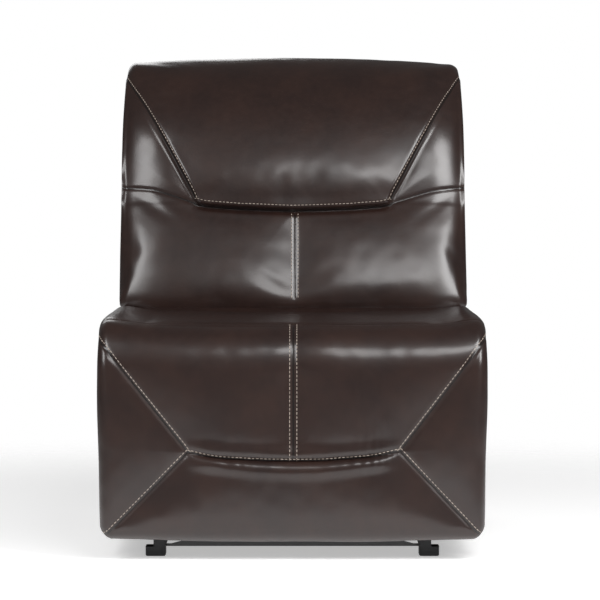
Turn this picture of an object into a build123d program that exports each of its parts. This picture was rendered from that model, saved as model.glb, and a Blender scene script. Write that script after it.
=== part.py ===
from build123d import *
import os
from math import asin, atan2, cos, degrees, hypot, radians, sin, sqrt

# Armless reclining chair in millimetres. X runs to the right as seen from the front, Y backwards,
# Z up. The origin lies on the floor under the middle of the closed, upright chair.
# Points in the side view are (y, z) pairs; "inner" sizes are distances from the middle plane.

# ---- overall sizes ----
WIDTH = 762.0
DEPTH = 960.0
SEAT_HEIGHT = 470.0
BACK_LENGTH = 759.0
BACK_INSET = 7.0
SKIRT_GAP = 44.0
REST_TILT = 14.0
HINGE_DROP = 185.0

# ---- front roll, where the seat cover runs over into the footrest ----
ROLL_RADIUS = 70.0
MITRE_GAP = 0.6

# ---- upholstery ----
CUSHION_THICKNESS = 98.0
CUSHION_SETBACK = 330.0
SEAT_EDGE_RADIUS = 22.0
FOOT_PAD = 60.0
FOOT_PAD_RADIUS = 24.0
SIDE_PANEL = 26.0
SIDE_PANEL_EDGE = 8.0
PANEL_SETBACK = 84.0
PANEL_NOSE_RUN = 12.0
PANEL_NOSE_DROP = 14.0
PANEL_HEEL_RUN = 48.0
PANEL_HEEL_DROP = 66.0
REAR_PANEL = 18.0
REAR_PANEL_EDGE = 6.0
REAR_PANEL_SETBACK = 164.0
REAR_PANEL_DROP = 69.0
LUMBAR_DEPTH = 135.0
HEAD_DEPTH = 140.0
WING_DEPTH = 105.0
LUMBAR_FOOT = 168.0
HEAD_FOOT = 392.0
HEAD_HALF_FOOT = 213.0
HEAD_INSET = 6.0
PAD_RADIUS = 28.0
SEAM_GAP = 1.0
BACK_LINER = 14.0
LINER_FOOT = -35.0
WIDE_FOOT = 120.0

# ---- timber ----
RAIL_T = 24.0
RAIL_HEIGHT = 100.0
RAIL_SETBACK = 95.0
RAIL_HEEL = 245.0
RAIL_NOSE_RUN = 55.0
RAIL_NOSE_RISE = 75.0
CROSS_RAIL_T = 22.0
FRONT_RAIL_SETBACK = 168.0
REAR_RAIL_SETBACK = 360.0
FRONT_BOARD_T = 12.0
BOARD_LEDGE = 6.5
FOOT_BOARD_T = 18.0
FOOT_BOARD_LIFT = 8.0
FOOT_BOARD_INSET = 20.0
BACK_RAIL_T = 18.0
BACK_RAIL_DEPTH = 123.0
BACK_FRAME_FRONT = 25.0
BACK_RAIL_FOOT = 60.0
BACK_TOP_SPACE = 59.0
BACK_CROSS_HEIGHT = 90.0
BACK_RAIL_TAPER = 110.0
BACK_RAIL_CROWN = 25.0
BACK_RAIL_CORNER = 20.0
BACK_RAIL_STEP = 10.0

# ---- steel mechanism ----
STEEL = 4.0
LAYER_GAP = 1.0
RAIL_CLEARANCE = 18.0
ANGLE_LEG = 24.0
ANGLE_T = 2.5
ANGLE_HEIGHT = 35.0
CROSS_RISE = 17.0
CROSS_SLOPE = 56.0
CROSS_INSET = 6.0
BRACKET_HALF = 48.0
BRACKET_EYE = 14.0
LINK_WIDTH = 18.0
CARRIED_WIDTH = 16.0
SWING_WIDTH = 24.0
SWING_LENGTH = 100.0
SWING_LEAN = 20.0
SWING_DROP = 80.0
SWING_SETBACK = 330.0
TUBE_R = 11.0
TUBE_WALL = 1.8
PIN_R = 4.0
RUN = 0.08
HEAD_R = 7.0
HEAD_T = 2.0
HEAD_GAP = 0.3
RISE_LEAN = 36.87
FRONT_OFFSET = 130.0
LINK_SPACING = 80.0
LINK_END_HEIGHT = 65.0
EYE_SETBACK = 21.3
FOLD_EXTRA = 60.0
WEB_DROP = 65.0
FLANGE_SETBACK = 180.0
FLANGE_FRONT_SCREW = 40.0
FLANGE_REAR_SCREW = 55.0
HEEL = 15.0
WEB_NOSE = 8.0
HINGE_EYE = 12.0
TUBE_EYE = 7.0
ARM_EYE = 13.0
ARM_LINE = -18.0
ARM_RISE = 28.0
ARM_TOP = 260.0
ARM_FIRST_SCREW = 165.0
ARM_SCREW_STEP = 35.0
SCREW_R = 2.5
SCREW_HEAD_R = 5.0
SCREW_HEAD_T = 2.5
SCREW_BITE = 16.0
WIRE_R = 1.8
SPRING_COUNT = 4
SPRING_SPACING = 130.0
SPRING_WAVES = 6
SPRING_SWING = 22.0
CLIP_LENGTH = 14.0
CLIP_WIDTH = 20.0
CLIP_HEIGHT = 6.0
SPRING_INSET = 30.0
BRACKET_FLANGE = 34.0
BRACKET_REACH = 28.0
BRACKET_EDGE = 12.0
BRACKET_EYE_R = 10.0
SCREW_COVER = 2.0

# ---- feet and release handle ----
FOOT_HEIGHT = 19.0
FOOT_WIDTH = 40.0
FOOT_LENGTH = 40.0
FOOT_LIP = 4.0
FOOT_CORNER = 5.0
FOOT_CHAMFER = 2.0
CUP_SETBACK = 310.0
CUP_RISE = 25.0
CUP_LENGTH = 118.0
CUP_HEIGHT = 62.0
CUP_WALL = 3.0
CUP_DEPTH = 22.0
CUP_CORNER = 14.0
PADDLE_T = 3.5
PADDLE_GAP = 1.0
PADDLE_END = 8.0
PADDLE_LENGTH = 32.0
PADDLE_PIN_R = 2.0
PADDLE_EYE = 4.5
PADDLE_BEAD = 3.2
PADDLE_BEAD_SHIFT = 2.0
PADDLE_PIN_INSET = 14.0
PADDLE_PIN_DROP = 6.0

# ---- sizes that follow ----
HALF_WIDTH = WIDTH / 2
FRONT_Y = -DEPTH / 2
REAR_Y = DEPTH / 2
BACK_WIDTH = WIDTH - 2 * BACK_INSET
HALF_BACK = BACK_WIDTH / 2
# The steel layers are stacked inwards from the seat's side rails.
PANEL_INNER = HALF_WIDTH - SIDE_PANEL
RAIL_INNER = PANEL_INNER - RAIL_T
BACK_RAIL_INNER = RAIL_INNER - RAIL_CLEARANCE - BACK_RAIL_T
LINK_INNER = BACK_RAIL_INNER - STEEL
UPPER_INNER = LINK_INNER + STEEL + LAYER_GAP
PLATE_INNER = LINK_INNER - LAYER_GAP - STEEL
SWING_INNER = PLATE_INNER - LAYER_GAP - STEEL
BRACKET_INNER = SWING_INNER - LAYER_GAP - STEEL
BASE_INNER = BRACKET_INNER - ANGLE_LEG
NARROW_HALF = PANEL_INNER - 5 * LAYER_GAP
# Heights hang from the seat's top and run down to the links' lowest points.
HINGE_Z = SEAT_HEIGHT - HINGE_DROP
CUSHION_BASE = SEAT_HEIGHT - CUSHION_THICKNESS
RAIL_BASE = CUSHION_BASE - FRONT_BOARD_T - RAIL_HEIGHT
WEB_BOTTOM = HINGE_Z - WEB_DROP
REAR_PANEL_TOP = HINGE_Z - REAR_PANEL_DROP
SWING_PIVOT_Z = WEB_BOTTOM - SWING_DROP
CUP_Z = HINGE_Z + CUP_RISE
# Places along the depth are set back from the front or from the rear.
BASE_FRONT = FRONT_Y + PANEL_SETBACK
RAIL_FRONT = FRONT_Y + RAIL_SETBACK
FRONT_RAIL_Y = FRONT_Y + FRONT_RAIL_SETBACK
FLANGE_FRONT = FRONT_Y + FLANGE_SETBACK
SWING_FRONT_Y = FRONT_Y + SWING_SETBACK
CUP_Y = FRONT_Y + CUP_SETBACK
REAR_RAIL_Y = REAR_Y - REAR_RAIL_SETBACK
SWING_REAR_Y = REAR_RAIL_Y
CUSHION_REAR = REAR_Y - CUSHION_SETBACK
RAIL_REAR = REAR_Y - RAIL_HEEL
BASE_REAR = RAIL_REAR
REAR_PANEL_Y = REAR_Y - REAR_PANEL_SETBACK
FOOT_BOARD_FRONT = FRONT_Y + FOOT_PAD
FOOT_BOARD_BACK = FOOT_BOARD_FRONT + FOOT_BOARD_T
BACK_RAIL_TOP = BACK_LENGTH - BACK_TOP_SPACE
FRAME_REAR = BACK_FRAME_FRONT - BACK_RAIL_DEPTH
BACK_OUTER = FRAME_REAR - BACK_LINER
TOP_RADIUS = 60.0
TOP_STEP = 15.0
REAR_TOP_V = BACK_LENGTH - TOP_STEP - TOP_RADIUS
REAR_TOP_N = BACK_OUTER + TOP_RADIUS
TILT_SIN = sin(radians(REST_TILT))
TILT_COS = cos(radians(REST_TILT))
# The back's rearmost point lies on its rounded top corner and sets the hinge's place.
HINGE_Y = REAR_Y - (REAR_TOP_V * TILT_SIN - REAR_TOP_N * TILT_COS + TOP_RADIUS)

# The back's own frames: v runs up the back and n towards the sitter.
BACK_FACE = Plane(origin=(0, HINGE_Y, HINGE_Z), x_dir=(1, 0, 0), z_dir=(0, -TILT_COS, TILT_SIN))
BACK_SIDE = Plane(origin=(0, HINGE_Y, HINGE_Z), x_dir=(0, TILT_SIN, TILT_COS), z_dir=(1, 0, 0))


def along(start, way, length):
    """Point at a distance from start along a unit direction in the side view."""
    return (start[0] + way[0] * length, start[1] + way[1] * length)


def leaning(angle, up):
    """Unit direction that leans back from the vertical by an angle, going up or down."""
    return (sin(radians(angle)), cos(radians(angle)) * up)


# ---- pivots in the side view ----
ROLL_CENTRE = (FRONT_Y + ROLL_RADIUS, SEAT_HEIGHT - ROLL_RADIUS)
FOOT_HINGE = along(ROLL_CENTRE, (-sqrt(0.5), sqrt(0.5)), ROLL_RADIUS)
RISE = leaning(-RISE_LEAN, 1)
SWING = leaning(SWING_LEAN, 1)
FRONT_LINK_PIVOT = along(FOOT_HINGE, RISE, -FRONT_OFFSET)
REAR_LINK_PIVOT = along(FRONT_LINK_PIVOT, RISE, -LINK_SPACING)
# The folded links lean so that the upper eye stays clear of the footrest's board.
FOLD_RUN = FOOT_BOARD_BACK + EYE_SETBACK - FOOT_HINGE[0]
FOLD_DROP = REAR_LINK_PIVOT[1] - LINK_END_HEIGHT
FOLD_LENGTH = hypot(FOLD_RUN, FOLD_DROP)
FOLD = (FOLD_RUN / FOLD_LENGTH, -FOLD_DROP / FOLD_LENGTH)
REAR_LINK_END = along(REAR_LINK_PIVOT, FOLD, FOLD_LENGTH)
FRONT_LINK_MID = along(FRONT_LINK_PIVOT, FOLD, FOLD_LENGTH)
FRONT_LINK_END = along(FRONT_LINK_PIVOT, FOLD, FOLD_LENGTH + FOLD_EXTRA)
FOOT_UPPER = along(FOOT_HINGE, FOLD, FOLD_LENGTH)
FOOT_LOWER = along(FOOT_HINGE, FOLD, FOLD_LENGTH + FOLD_EXTRA)
SWING_FRONT_FOOT = (SWING_FRONT_Y, SWING_PIVOT_Z)
SWING_REAR_FOOT = (SWING_REAR_Y, SWING_PIVOT_Z)
SWING_FRONT_TOP = along(SWING_FRONT_FOOT, SWING, SWING_LENGTH)
SWING_REAR_TOP = along(SWING_REAR_FOOT, SWING, SWING_LENGTH)
BACK_HINGE = (HINGE_Y, HINGE_Z)
SIDES = (("left", -1), ("right", 1))

os.makedirs("parts", exist_ok=True)


def write(piece, name):
    """Label a finished piece and write its STEP file."""
    piece.part.label = name
    export_step(piece.part, f"parts/{name}.step")


def side_plane(side, inner):
    """Side-view sketch plane at a distance from the middle plane."""
    return Plane.YZ.offset(side * inner)


def bar_outline(points, width):
    """Sketch a flat link with round ends through a row of pivots."""
    for start, end in zip(points, points[1:]):
        middle = ((start[0] + end[0]) / 2, (start[1] + end[1]) / 2)
        turn = degrees(atan2(end[1] - start[1], end[0] - start[0]))
        with Locations(middle):
            SlotCenterToCenter(hypot(end[0] - start[0], end[1] - start[1]), width, rotation=turn)


def add_link(side, inner, points, width, running):
    """Stamped link: a round-ended bar, bored to run on some pins and to grip the others."""
    with BuildSketch(side_plane(side, inner)) as outline:
        bar_outline(points, width)
        for point in points:
            with Locations(point):
                Circle(PIN_R + (RUN if point in running else 0), mode=Mode.SUBTRACT)
    extrude(outline.sketch, amount=side * STEEL)


def add_pin(side, point, low, high):
    """Riveted pin with a head at each end, drawn between two distances from the middle."""
    for start, length, radius in ((low, high - low, PIN_R), (low, -HEAD_T, HEAD_R), (high, HEAD_T, HEAD_R)):
        with BuildSketch(side_plane(side, start)) as disc:
            with Locations(point):
                Circle(radius)
        extrude(disc.sketch, amount=side * length)


# ================= base =================
# Each base rail is a steel angle with its foot flange turned inwards, and carries two welded
# plates for the swing links.
for name, side in SIDES:
    with BuildPart() as base_rail:
        with BuildSketch(Plane.XZ.offset(-BASE_FRONT)):
            with BuildLine():
                Polyline(
                    (side * BASE_INNER, FOOT_HEIGHT),
                    (side * BRACKET_INNER, FOOT_HEIGHT),
                    (side * BRACKET_INNER, FOOT_HEIGHT + ANGLE_HEIGHT),
                    (side * (BRACKET_INNER - ANGLE_T), FOOT_HEIGHT + ANGLE_HEIGHT),
                    (side * (BRACKET_INNER - ANGLE_T), FOOT_HEIGHT + ANGLE_T),
                    (side * BASE_INNER, FOOT_HEIGHT + ANGLE_T),
                    close=True,
                )
            make_face()
        extrude(amount=BASE_FRONT - BASE_REAR)
        for pivot in (SWING_FRONT_FOOT, SWING_REAR_FOOT):
            with BuildSketch(side_plane(side, BRACKET_INNER)):
                with BuildLine():
                    Polyline(
                        (pivot[0] - BRACKET_HALF, FOOT_HEIGHT),
                        (pivot[0] + BRACKET_HALF, FOOT_HEIGHT),
                        (pivot[0] + BRACKET_HALF, FOOT_HEIGHT + ANGLE_HEIGHT),
                        (pivot[0] + BRACKET_EYE, pivot[1]),
                        (pivot[0] - BRACKET_EYE, pivot[1]),
                        (pivot[0] - BRACKET_HALF, FOOT_HEIGHT + ANGLE_HEIGHT),
                        close=True,
                    )
                make_face()
                with Locations(pivot):
                    Circle(BRACKET_EYE)
                    Circle(PIN_R, mode=Mode.SUBTRACT)
            extrude(amount=side * STEEL)
    write(base_rail, f"base_rail_{name}")

# The cross rails are low angles whose ends slope up from the side rails.
for name, start, way in (("front", BASE_FRONT + CROSS_INSET, 1), ("rear", BASE_REAR - CROSS_INSET, -1)):
    with BuildPart() as cross_rail:
        with BuildSketch(Plane.XZ.offset(-start)):
            with BuildLine():
                Polyline(
                    (-BASE_INNER, FOOT_HEIGHT),
                    (BASE_INNER, FOOT_HEIGHT),
                    (BASE_INNER, FOOT_HEIGHT + ANGLE_T),
                    (BASE_INNER - CROSS_SLOPE, FOOT_HEIGHT + CROSS_RISE),
                    (CROSS_SLOPE - BASE_INNER, FOOT_HEIGHT + CROSS_RISE),
                    (-BASE_INNER, FOOT_HEIGHT + ANGLE_T),
                    close=True,
                )
            make_face()
        extrude(amount=-way * ANGLE_T)
        with BuildSketch(Plane.XY.offset(FOOT_HEIGHT)):
            with Locations((0, start + way * ANGLE_LEG / 2)):
                Rectangle(2 * BASE_INNER, ANGLE_LEG)
        extrude(amount=ANGLE_T)
    write(cross_rail, f"base_cross_rail_{name}")

# Each moulded foot has a wide block under the rail and a lip that caps the rail's end.
for end, start, way in (("front", BASE_FRONT, 1), ("rear", BASE_REAR, -1)):
    for name, side in SIDES:
        with BuildPart() as foot:
            with BuildSketch(Plane.XY):
                spot = (side * (BASE_INNER + FOOT_WIDTH / 2), start + way * (FOOT_LENGTH / 2 - FOOT_LIP))
                with Locations(spot):
                    RectangleRounded(FOOT_WIDTH, FOOT_LENGTH, FOOT_CORNER)
            extrude(amount=FOOT_HEIGHT)
            chamfer(foot.faces().sort_by(Axis.Z)[0].edges(), FOOT_CHAMFER)
            with BuildSketch(Plane.XY.offset(FOOT_HEIGHT)):
                with Locations((side * (BASE_INNER + ANGLE_LEG / 2), start - way * FOOT_LIP / 2)):
                    Rectangle(ANGLE_LEG, FOOT_LIP)
            extrude(amount=ANGLE_HEIGHT - 2 * ANGLE_T)
        write(foot, f"foot_{end}_{name}")

with BuildPart() as base_pins:
    for name, side in SIDES:
        for pivot in (SWING_FRONT_FOOT, SWING_REAR_FOOT):
            add_pin(side, pivot, BRACKET_INNER, SWING_INNER + STEEL + HEAD_GAP)
write(base_pins, "base_pivot_pins")

# ================= swing links and their torque tubes =================
for end, foot_pivot, top_pivot in (
    ("front", SWING_FRONT_FOOT, SWING_FRONT_TOP),
    ("rear", SWING_REAR_FOOT, SWING_REAR_TOP),
):
    with BuildPart() as swing_links:
        for _, side in SIDES:
            add_link(side, SWING_INNER, (foot_pivot, top_pivot), SWING_WIDTH, (foot_pivot, top_pivot))
    write(swing_links, f"{end}_swing_links")
    with BuildPart() as swing_tube:
        with BuildSketch(side_plane(-1, SWING_INNER)):
            with Locations(along(foot_pivot, SWING, SWING_LENGTH / 2)):
                Circle(TUBE_R)
                Circle(TUBE_R - TUBE_WALL, mode=Mode.SUBTRACT)
        extrude(amount=2 * SWING_INNER)
    write(swing_tube, f"{end}_swing_tube")

# ================= seat steel =================
# Screws pass up through the plate's flange into the seat's side rail.
FLANGE_SCREWS = (
    FLANGE_FRONT + FLANGE_FRONT_SCREW,
    (FLANGE_FRONT + RAIL_REAR) / 2,
    RAIL_REAR - FLANGE_REAR_SCREW,
)
SCREW_INNER = RAIL_INNER + RAIL_T / 2
for name, side in SIDES:
    with BuildPart() as seat_plate:
        with BuildSketch(side_plane(side, PLATE_INNER)):
            with BuildLine():
                Polyline(
                    (REAR_LINK_PIVOT[0] - HEEL, WEB_BOTTOM),
                    (RAIL_REAR, WEB_BOTTOM),
                    (RAIL_REAR, RAIL_BASE),
                    (HINGE_Y + HEEL, HINGE_Z),
                    (HINGE_Y - HEEL, HINGE_Z),
                    (HINGE_Y - 2 * HEEL, RAIL_BASE),
                    (REAR_LINK_PIVOT[0] + HEEL, RAIL_BASE),
                    (REAR_LINK_PIVOT[0] + HEEL, REAR_LINK_PIVOT[1]),
                    (FRONT_LINK_PIVOT[0] + WEB_NOSE, FRONT_LINK_PIVOT[1] + WEB_NOSE),
                    (FRONT_LINK_PIVOT[0] - WEB_NOSE, FRONT_LINK_PIVOT[1] - WEB_NOSE),
                    close=True,
                )
            make_face()
            with Locations(BACK_HINGE, FRONT_LINK_PIVOT):
                Circle(HINGE_EYE)
            with Locations(REAR_LINK_PIVOT):
                Circle(TUBE_R + TUBE_EYE)
            with Locations(BACK_HINGE, FRONT_LINK_PIVOT, SWING_FRONT_TOP, SWING_REAR_TOP):
                Circle(PIN_R, mode=Mode.SUBTRACT)
            with Locations(REAR_LINK_PIVOT):
                Circle(TUBE_R + RUN, mode=Mode.SUBTRACT)
        extrude(amount=side * STEEL)
        with BuildSketch(Plane.XY.offset(RAIL_BASE)):
            with Locations((side * (PLATE_INNER + PANEL_INNER) / 2, (FLANGE_FRONT + RAIL_REAR) / 2)):
                Rectangle(PANEL_INNER - PLATE_INNER, RAIL_REAR - FLANGE_FRONT)
            with Locations(*[(side * SCREW_INNER, y) for y in FLANGE_SCREWS]):
                Circle(SCREW_R, mode=Mode.SUBTRACT)
        extrude(amount=-STEEL)
    write(seat_plate, f"seat_plate_{name}")

with BuildPart() as seat_pins:
    for name, side in SIDES:
        add_pin(side, FRONT_LINK_PIVOT, PLATE_INNER, LINK_INNER + STEEL + HEAD_GAP)
        add_pin(side, BACK_HINGE, PLATE_INNER, LINK_INNER + STEEL + HEAD_GAP)
        for pivot in (SWING_FRONT_TOP, SWING_REAR_TOP):
            add_pin(side, pivot, SWING_INNER - HEAD_GAP, PLATE_INNER + STEEL)
write(seat_pins, "seat_pivot_pins")

with BuildPart() as seat_screws:
    with Locations(*[(s * SCREW_INNER, y, RAIL_BASE - STEEL) for _, s in SIDES for y in FLANGE_SCREWS]):
        Cylinder(SCREW_R, SCREW_BITE, align=(Align.CENTER, Align.CENTER, Align.MIN))
        Cylinder(SCREW_HEAD_R, SCREW_HEAD_T, align=(Align.CENTER, Align.CENTER, Align.MAX))
write(seat_screws, "seat_plate_screws")

# ================= seat timber =================
for name, side in SIDES:
    with BuildPart() as side_rail:
        with BuildSketch(side_plane(side, RAIL_INNER)):
            with BuildLine():
                Polyline(
                    (RAIL_FRONT + RAIL_NOSE_RUN, RAIL_BASE),
                    (RAIL_REAR, RAIL_BASE),
                    (RAIL_REAR, RAIL_BASE + RAIL_HEIGHT),
                    (RAIL_FRONT, RAIL_BASE + RAIL_HEIGHT),
                    (RAIL_FRONT, RAIL_BASE + RAIL_NOSE_RISE),
                    close=True,
                )
            make_face()
        extrude(amount=side * RAIL_T)
        with BuildSketch(Plane.XY.offset(RAIL_BASE)):
            with Locations(*[(side * SCREW_INNER, y) for y in FLANGE_SCREWS]):
                Circle(SCREW_R)
        extrude(amount=SCREW_BITE - STEEL, mode=Mode.SUBTRACT)
    write(side_rail, f"seat_side_rail_{name}")

for name, start in (("front", FRONT_RAIL_Y), ("rear", REAR_RAIL_Y)):
    with BuildPart() as cross_board:
        with BuildSketch(Plane.XY.offset(RAIL_BASE)):
            with Locations((0, start + CROSS_RAIL_T / 2)):
                Rectangle(2 * RAIL_INNER, CROSS_RAIL_T)
        extrude(amount=RAIL_HEIGHT)
    write(cross_board, f"seat_{name}_rail")

with BuildPart() as front_board:
    with BuildSketch(Plane.XY.offset(RAIL_BASE + RAIL_HEIGHT)):
        with Locations((0, (RAIL_FRONT + FRONT_RAIL_Y + BOARD_LEDGE) / 2)):
            Rectangle(2 * PANEL_INNER, FRONT_RAIL_Y + BOARD_LEDGE - RAIL_FRONT)
    extrude(amount=FRONT_BOARD_T)
write(front_board, "seat_front_board")


def zigzag(length, swing, waves):
    """Corner points of a sinuous spring from one straight end to the other."""
    step = length / (2 * waves + 1)
    points = [(0, 0)]
    for turn in range(2 * waves):
        reach = swing if turn % 2 == 0 else -swing
        points.append((reach * 0.8, step * (turn + 0.55)))
        points.append((reach, step * (turn + 0.8)))
        points.append((reach, step * (turn + 1.2)))
        points.append((reach * 0.8, step * (turn + 1.45)))
    points.append((0, length))
    return points


def spring_row(frame, length):
    """Sinuous springs side by side with their end clips, on a plane whose y runs along them."""
    for count in range(SPRING_COUNT):
        x = (count - (SPRING_COUNT - 1) / 2) * SPRING_SPACING
        corners = zigzag(length, SPRING_SWING, SPRING_WAVES)
        points = [frame.from_local_coords(Vector(x + px, py, 0)) for px, py in corners]
        with BuildLine() as wire:
            Polyline(*points)
        with BuildSketch(Plane(origin=points[0], z_dir=points[1] - points[0])) as section:
            RegularPolygon(WIRE_R, 6)
        sweep(section.sketch, path=wire.line, transition=Transition.RIGHT)
        for end in (CLIP_LENGTH / 2, length - CLIP_LENGTH / 2):
            with BuildSketch(frame.offset(-WIRE_R)) as clip:
                with Locations((x, end)):
                    Rectangle(CLIP_WIDTH, CLIP_LENGTH)
            extrude(clip.sketch, amount=CLIP_HEIGHT)


SPAN_FRONT = FRONT_RAIL_Y + CROSS_RAIL_T - CLIP_LENGTH
SPAN_REAR = REAR_RAIL_Y + CLIP_LENGTH
with BuildPart() as seat_springs:
    start = Plane(origin=(0, SPAN_FRONT, RAIL_BASE + RAIL_HEIGHT + WIRE_R), x_dir=(1, 0, 0), z_dir=(0, 0, 1))
    spring_row(start, SPAN_REAR - SPAN_FRONT)
write(seat_springs, "seat_springs")

# ================= seat upholstery =================
MITRE_TURN = degrees(asin(MITRE_GAP / 2 / ROLL_RADIUS))


def on_roll(angle):
    """Point on the front roll's outside, by its angle from straight back."""
    return along(ROLL_CENTRE, (cos(radians(angle)), sin(radians(angle))), ROLL_RADIUS)


seat_mitre = on_roll(135 - MITRE_TURN)
foot_mitre = on_roll(135 + MITRE_TURN)
with BuildPart() as seat_cushion:
    with BuildSketch(side_plane(-1, HALF_WIDTH)):
        with BuildLine():
            ThreePointArc(seat_mitre, on_roll(112), on_roll(90))
            Polyline(
                on_roll(90),
                (CUSHION_REAR, SEAT_HEIGHT),
                (CUSHION_REAR, CUSHION_BASE),
                (seat_mitre[0] + seat_mitre[1] - CUSHION_BASE, CUSHION_BASE),
                seat_mitre,
            )
        make_face()
    extrude(amount=WIDTH)
    crown = seat_cushion.edges().filter_by(Axis.Y).group_by(Axis.Z)[-1]
    fillet(crown, SEAT_EDGE_RADIUS)
write(seat_cushion, "seat_cushion")

with BuildPart() as cup_pocket:
    with BuildSketch(side_plane(-1, PANEL_INNER)):
        with Locations((CUP_Y, CUP_Z)):
            RectangleRounded(CUP_LENGTH, CUP_HEIGHT, CUP_CORNER)
    extrude(amount=-SIDE_PANEL)
for name, side in SIDES:
    with BuildPart() as side_panel:
        with BuildSketch(side_plane(side, PANEL_INNER)):
            with BuildLine():
                Polyline(
                    (BASE_FRONT, SKIRT_GAP),
                    (REAR_PANEL_Y, SKIRT_GAP),
                    (REAR_PANEL_Y, CUSHION_BASE - PANEL_HEEL_DROP),
                    (REAR_PANEL_Y - PANEL_HEEL_RUN, CUSHION_BASE),
                    (BASE_FRONT + PANEL_NOSE_RUN, CUSHION_BASE),
                    (BASE_FRONT, CUSHION_BASE - PANEL_NOSE_DROP),
                    close=True,
                )
            make_face()
        extrude(amount=side * SIDE_PANEL)
        outer = side_panel.faces().filter_by(Axis.X).sort_by(Axis.X)[0 if side < 0 else -1]
        fillet(outer.edges(), SIDE_PANEL_EDGE)
        if name == "left":
            add(cup_pocket.part, mode=Mode.SUBTRACT)
    write(side_panel, f"side_panel_{name}")

with BuildPart() as rear_panel:
    with BuildSketch(Plane.XZ.offset(-REAR_PANEL_Y)):
        with Locations((0, (SKIRT_GAP + REAR_PANEL_TOP) / 2)):
            RectangleRounded(WIDTH, REAR_PANEL_TOP - SKIRT_GAP, SIDE_PANEL_EDGE)
    extrude(amount=-REAR_PANEL)
    fillet(rear_panel.faces().sort_by(Axis.Y)[-1].edges(), REAR_PANEL_EDGE)
write(rear_panel, "rear_panel")

# ================= footrest linkage =================
# Two parallelograms share the front links: the seat plates, front and rear links and the upper
# links make the first, and the front links' lower ends, the footrest's brackets, the upper and the
# lower links make the second. Together they turn the footrest about the seat cover's own fold.
for name, side in SIDES:
    with BuildPart() as rear_link:
        add_link(side, LINK_INNER, (REAR_LINK_PIVOT, REAR_LINK_END), LINK_WIDTH, (REAR_LINK_END,))
    write(rear_link, f"rear_ottoman_link_{name}")
with BuildPart() as drive_tube:
    with BuildSketch(side_plane(-1, LINK_INNER)):
        with Locations(REAR_LINK_PIVOT):
            Circle(TUBE_R)
            Circle(TUBE_R - TUBE_WALL, mode=Mode.SUBTRACT)
    extrude(amount=2 * LINK_INNER)
write(drive_tube, "ottoman_drive_tube")

FRONT_POINTS = (FRONT_LINK_PIVOT, FRONT_LINK_MID, FRONT_LINK_END)
UPPER_POINTS = (REAR_LINK_END, FRONT_LINK_MID, FOOT_UPPER)
LOWER_POINTS = (FRONT_LINK_END, FOOT_LOWER)
for name, side in SIDES:
    with BuildPart() as front_link:
        add_link(side, LINK_INNER, FRONT_POINTS, LINK_WIDTH, FRONT_POINTS)
    write(front_link, f"front_ottoman_link_{name}")
    with BuildPart() as upper_link:
        add_link(side, UPPER_INNER, UPPER_POINTS, CARRIED_WIDTH, ())
    write(upper_link, f"upper_ottoman_link_{name}")
with BuildPart() as lower_links:
    for _, side in SIDES:
        add_link(side, PLATE_INNER, LOWER_POINTS, CARRIED_WIDTH, ())
write(lower_links, "lower_ottoman_links")

with BuildPart() as upper_pins:
    for name, side in SIDES:
        for point in UPPER_POINTS:
            add_pin(side, point, LINK_INNER - HEAD_GAP, UPPER_INNER + STEEL)
write(upper_pins, "upper_ottoman_pins")

with BuildPart() as lower_pins:
    for name, side in SIDES:
        for point in LOWER_POINTS:
            add_pin(side, point, PLATE_INNER, LINK_INNER + STEEL + HEAD_GAP)
write(lower_pins, "lower_ottoman_pins")

# ================= footrest =================
FOOT_SCREWS = [FOOT_LOWER[1] + (FOOT_UPPER[1] - FOOT_LOWER[1]) * share for share in (-0.25, 0.5, 1.25)]
foot_screw_x = LINK_INNER + BRACKET_FLANGE - BRACKET_EDGE
foot_screw_spots = [(side * foot_screw_x, z) for _, side in SIDES for z in FOOT_SCREWS]
for name, side in SIDES:
    with BuildPart() as bracket:
        with BuildSketch(side_plane(side, LINK_INNER)):
            with BuildLine():
                Polyline(
                    (FOOT_BOARD_BACK, FOOT_UPPER[1] + BRACKET_REACH),
                    (FOOT_UPPER[0] + PIN_R, FOOT_UPPER[1] + 2 * PIN_R),
                    (FOOT_LOWER[0] + 2 * PIN_R, FOOT_LOWER[1] - PIN_R),
                    (FOOT_BOARD_BACK, FOOT_LOWER[1] - BRACKET_REACH),
                    close=True,
                )
            make_face()
            with Locations(FOOT_UPPER, FOOT_LOWER):
                Circle(BRACKET_EYE_R)
                Circle(PIN_R + RUN, mode=Mode.SUBTRACT)
        extrude(amount=side * STEEL)
        with BuildSketch(Plane.XZ.offset(-FOOT_BOARD_BACK)):
            with Locations((side * (LINK_INNER + BRACKET_FLANGE / 2), (FOOT_UPPER[1] + FOOT_LOWER[1]) / 2)):
                Rectangle(BRACKET_FLANGE, FOOT_UPPER[1] - FOOT_LOWER[1] + 2 * BRACKET_REACH)
            with Locations(*[(side * foot_screw_x, z) for z in FOOT_SCREWS]):
                Circle(SCREW_R, mode=Mode.SUBTRACT)
        extrude(amount=-STEEL)
    write(bracket, f"footrest_bracket_{name}")

with BuildPart() as foot_screws:
    with BuildSketch(Plane.XZ.offset(-FOOT_BOARD_BACK - STEEL)):
        with Locations(*foot_screw_spots):
            Circle(SCREW_R)
    extrude(amount=STEEL + FOOT_BOARD_T - SCREW_COVER)
    with BuildSketch(Plane.XZ.offset(-FOOT_BOARD_BACK - STEEL)):
        with Locations(*foot_screw_spots):
            Circle(SCREW_HEAD_R)
    extrude(amount=-SCREW_HEAD_T)
write(foot_screws, "footrest_screws")

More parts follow.
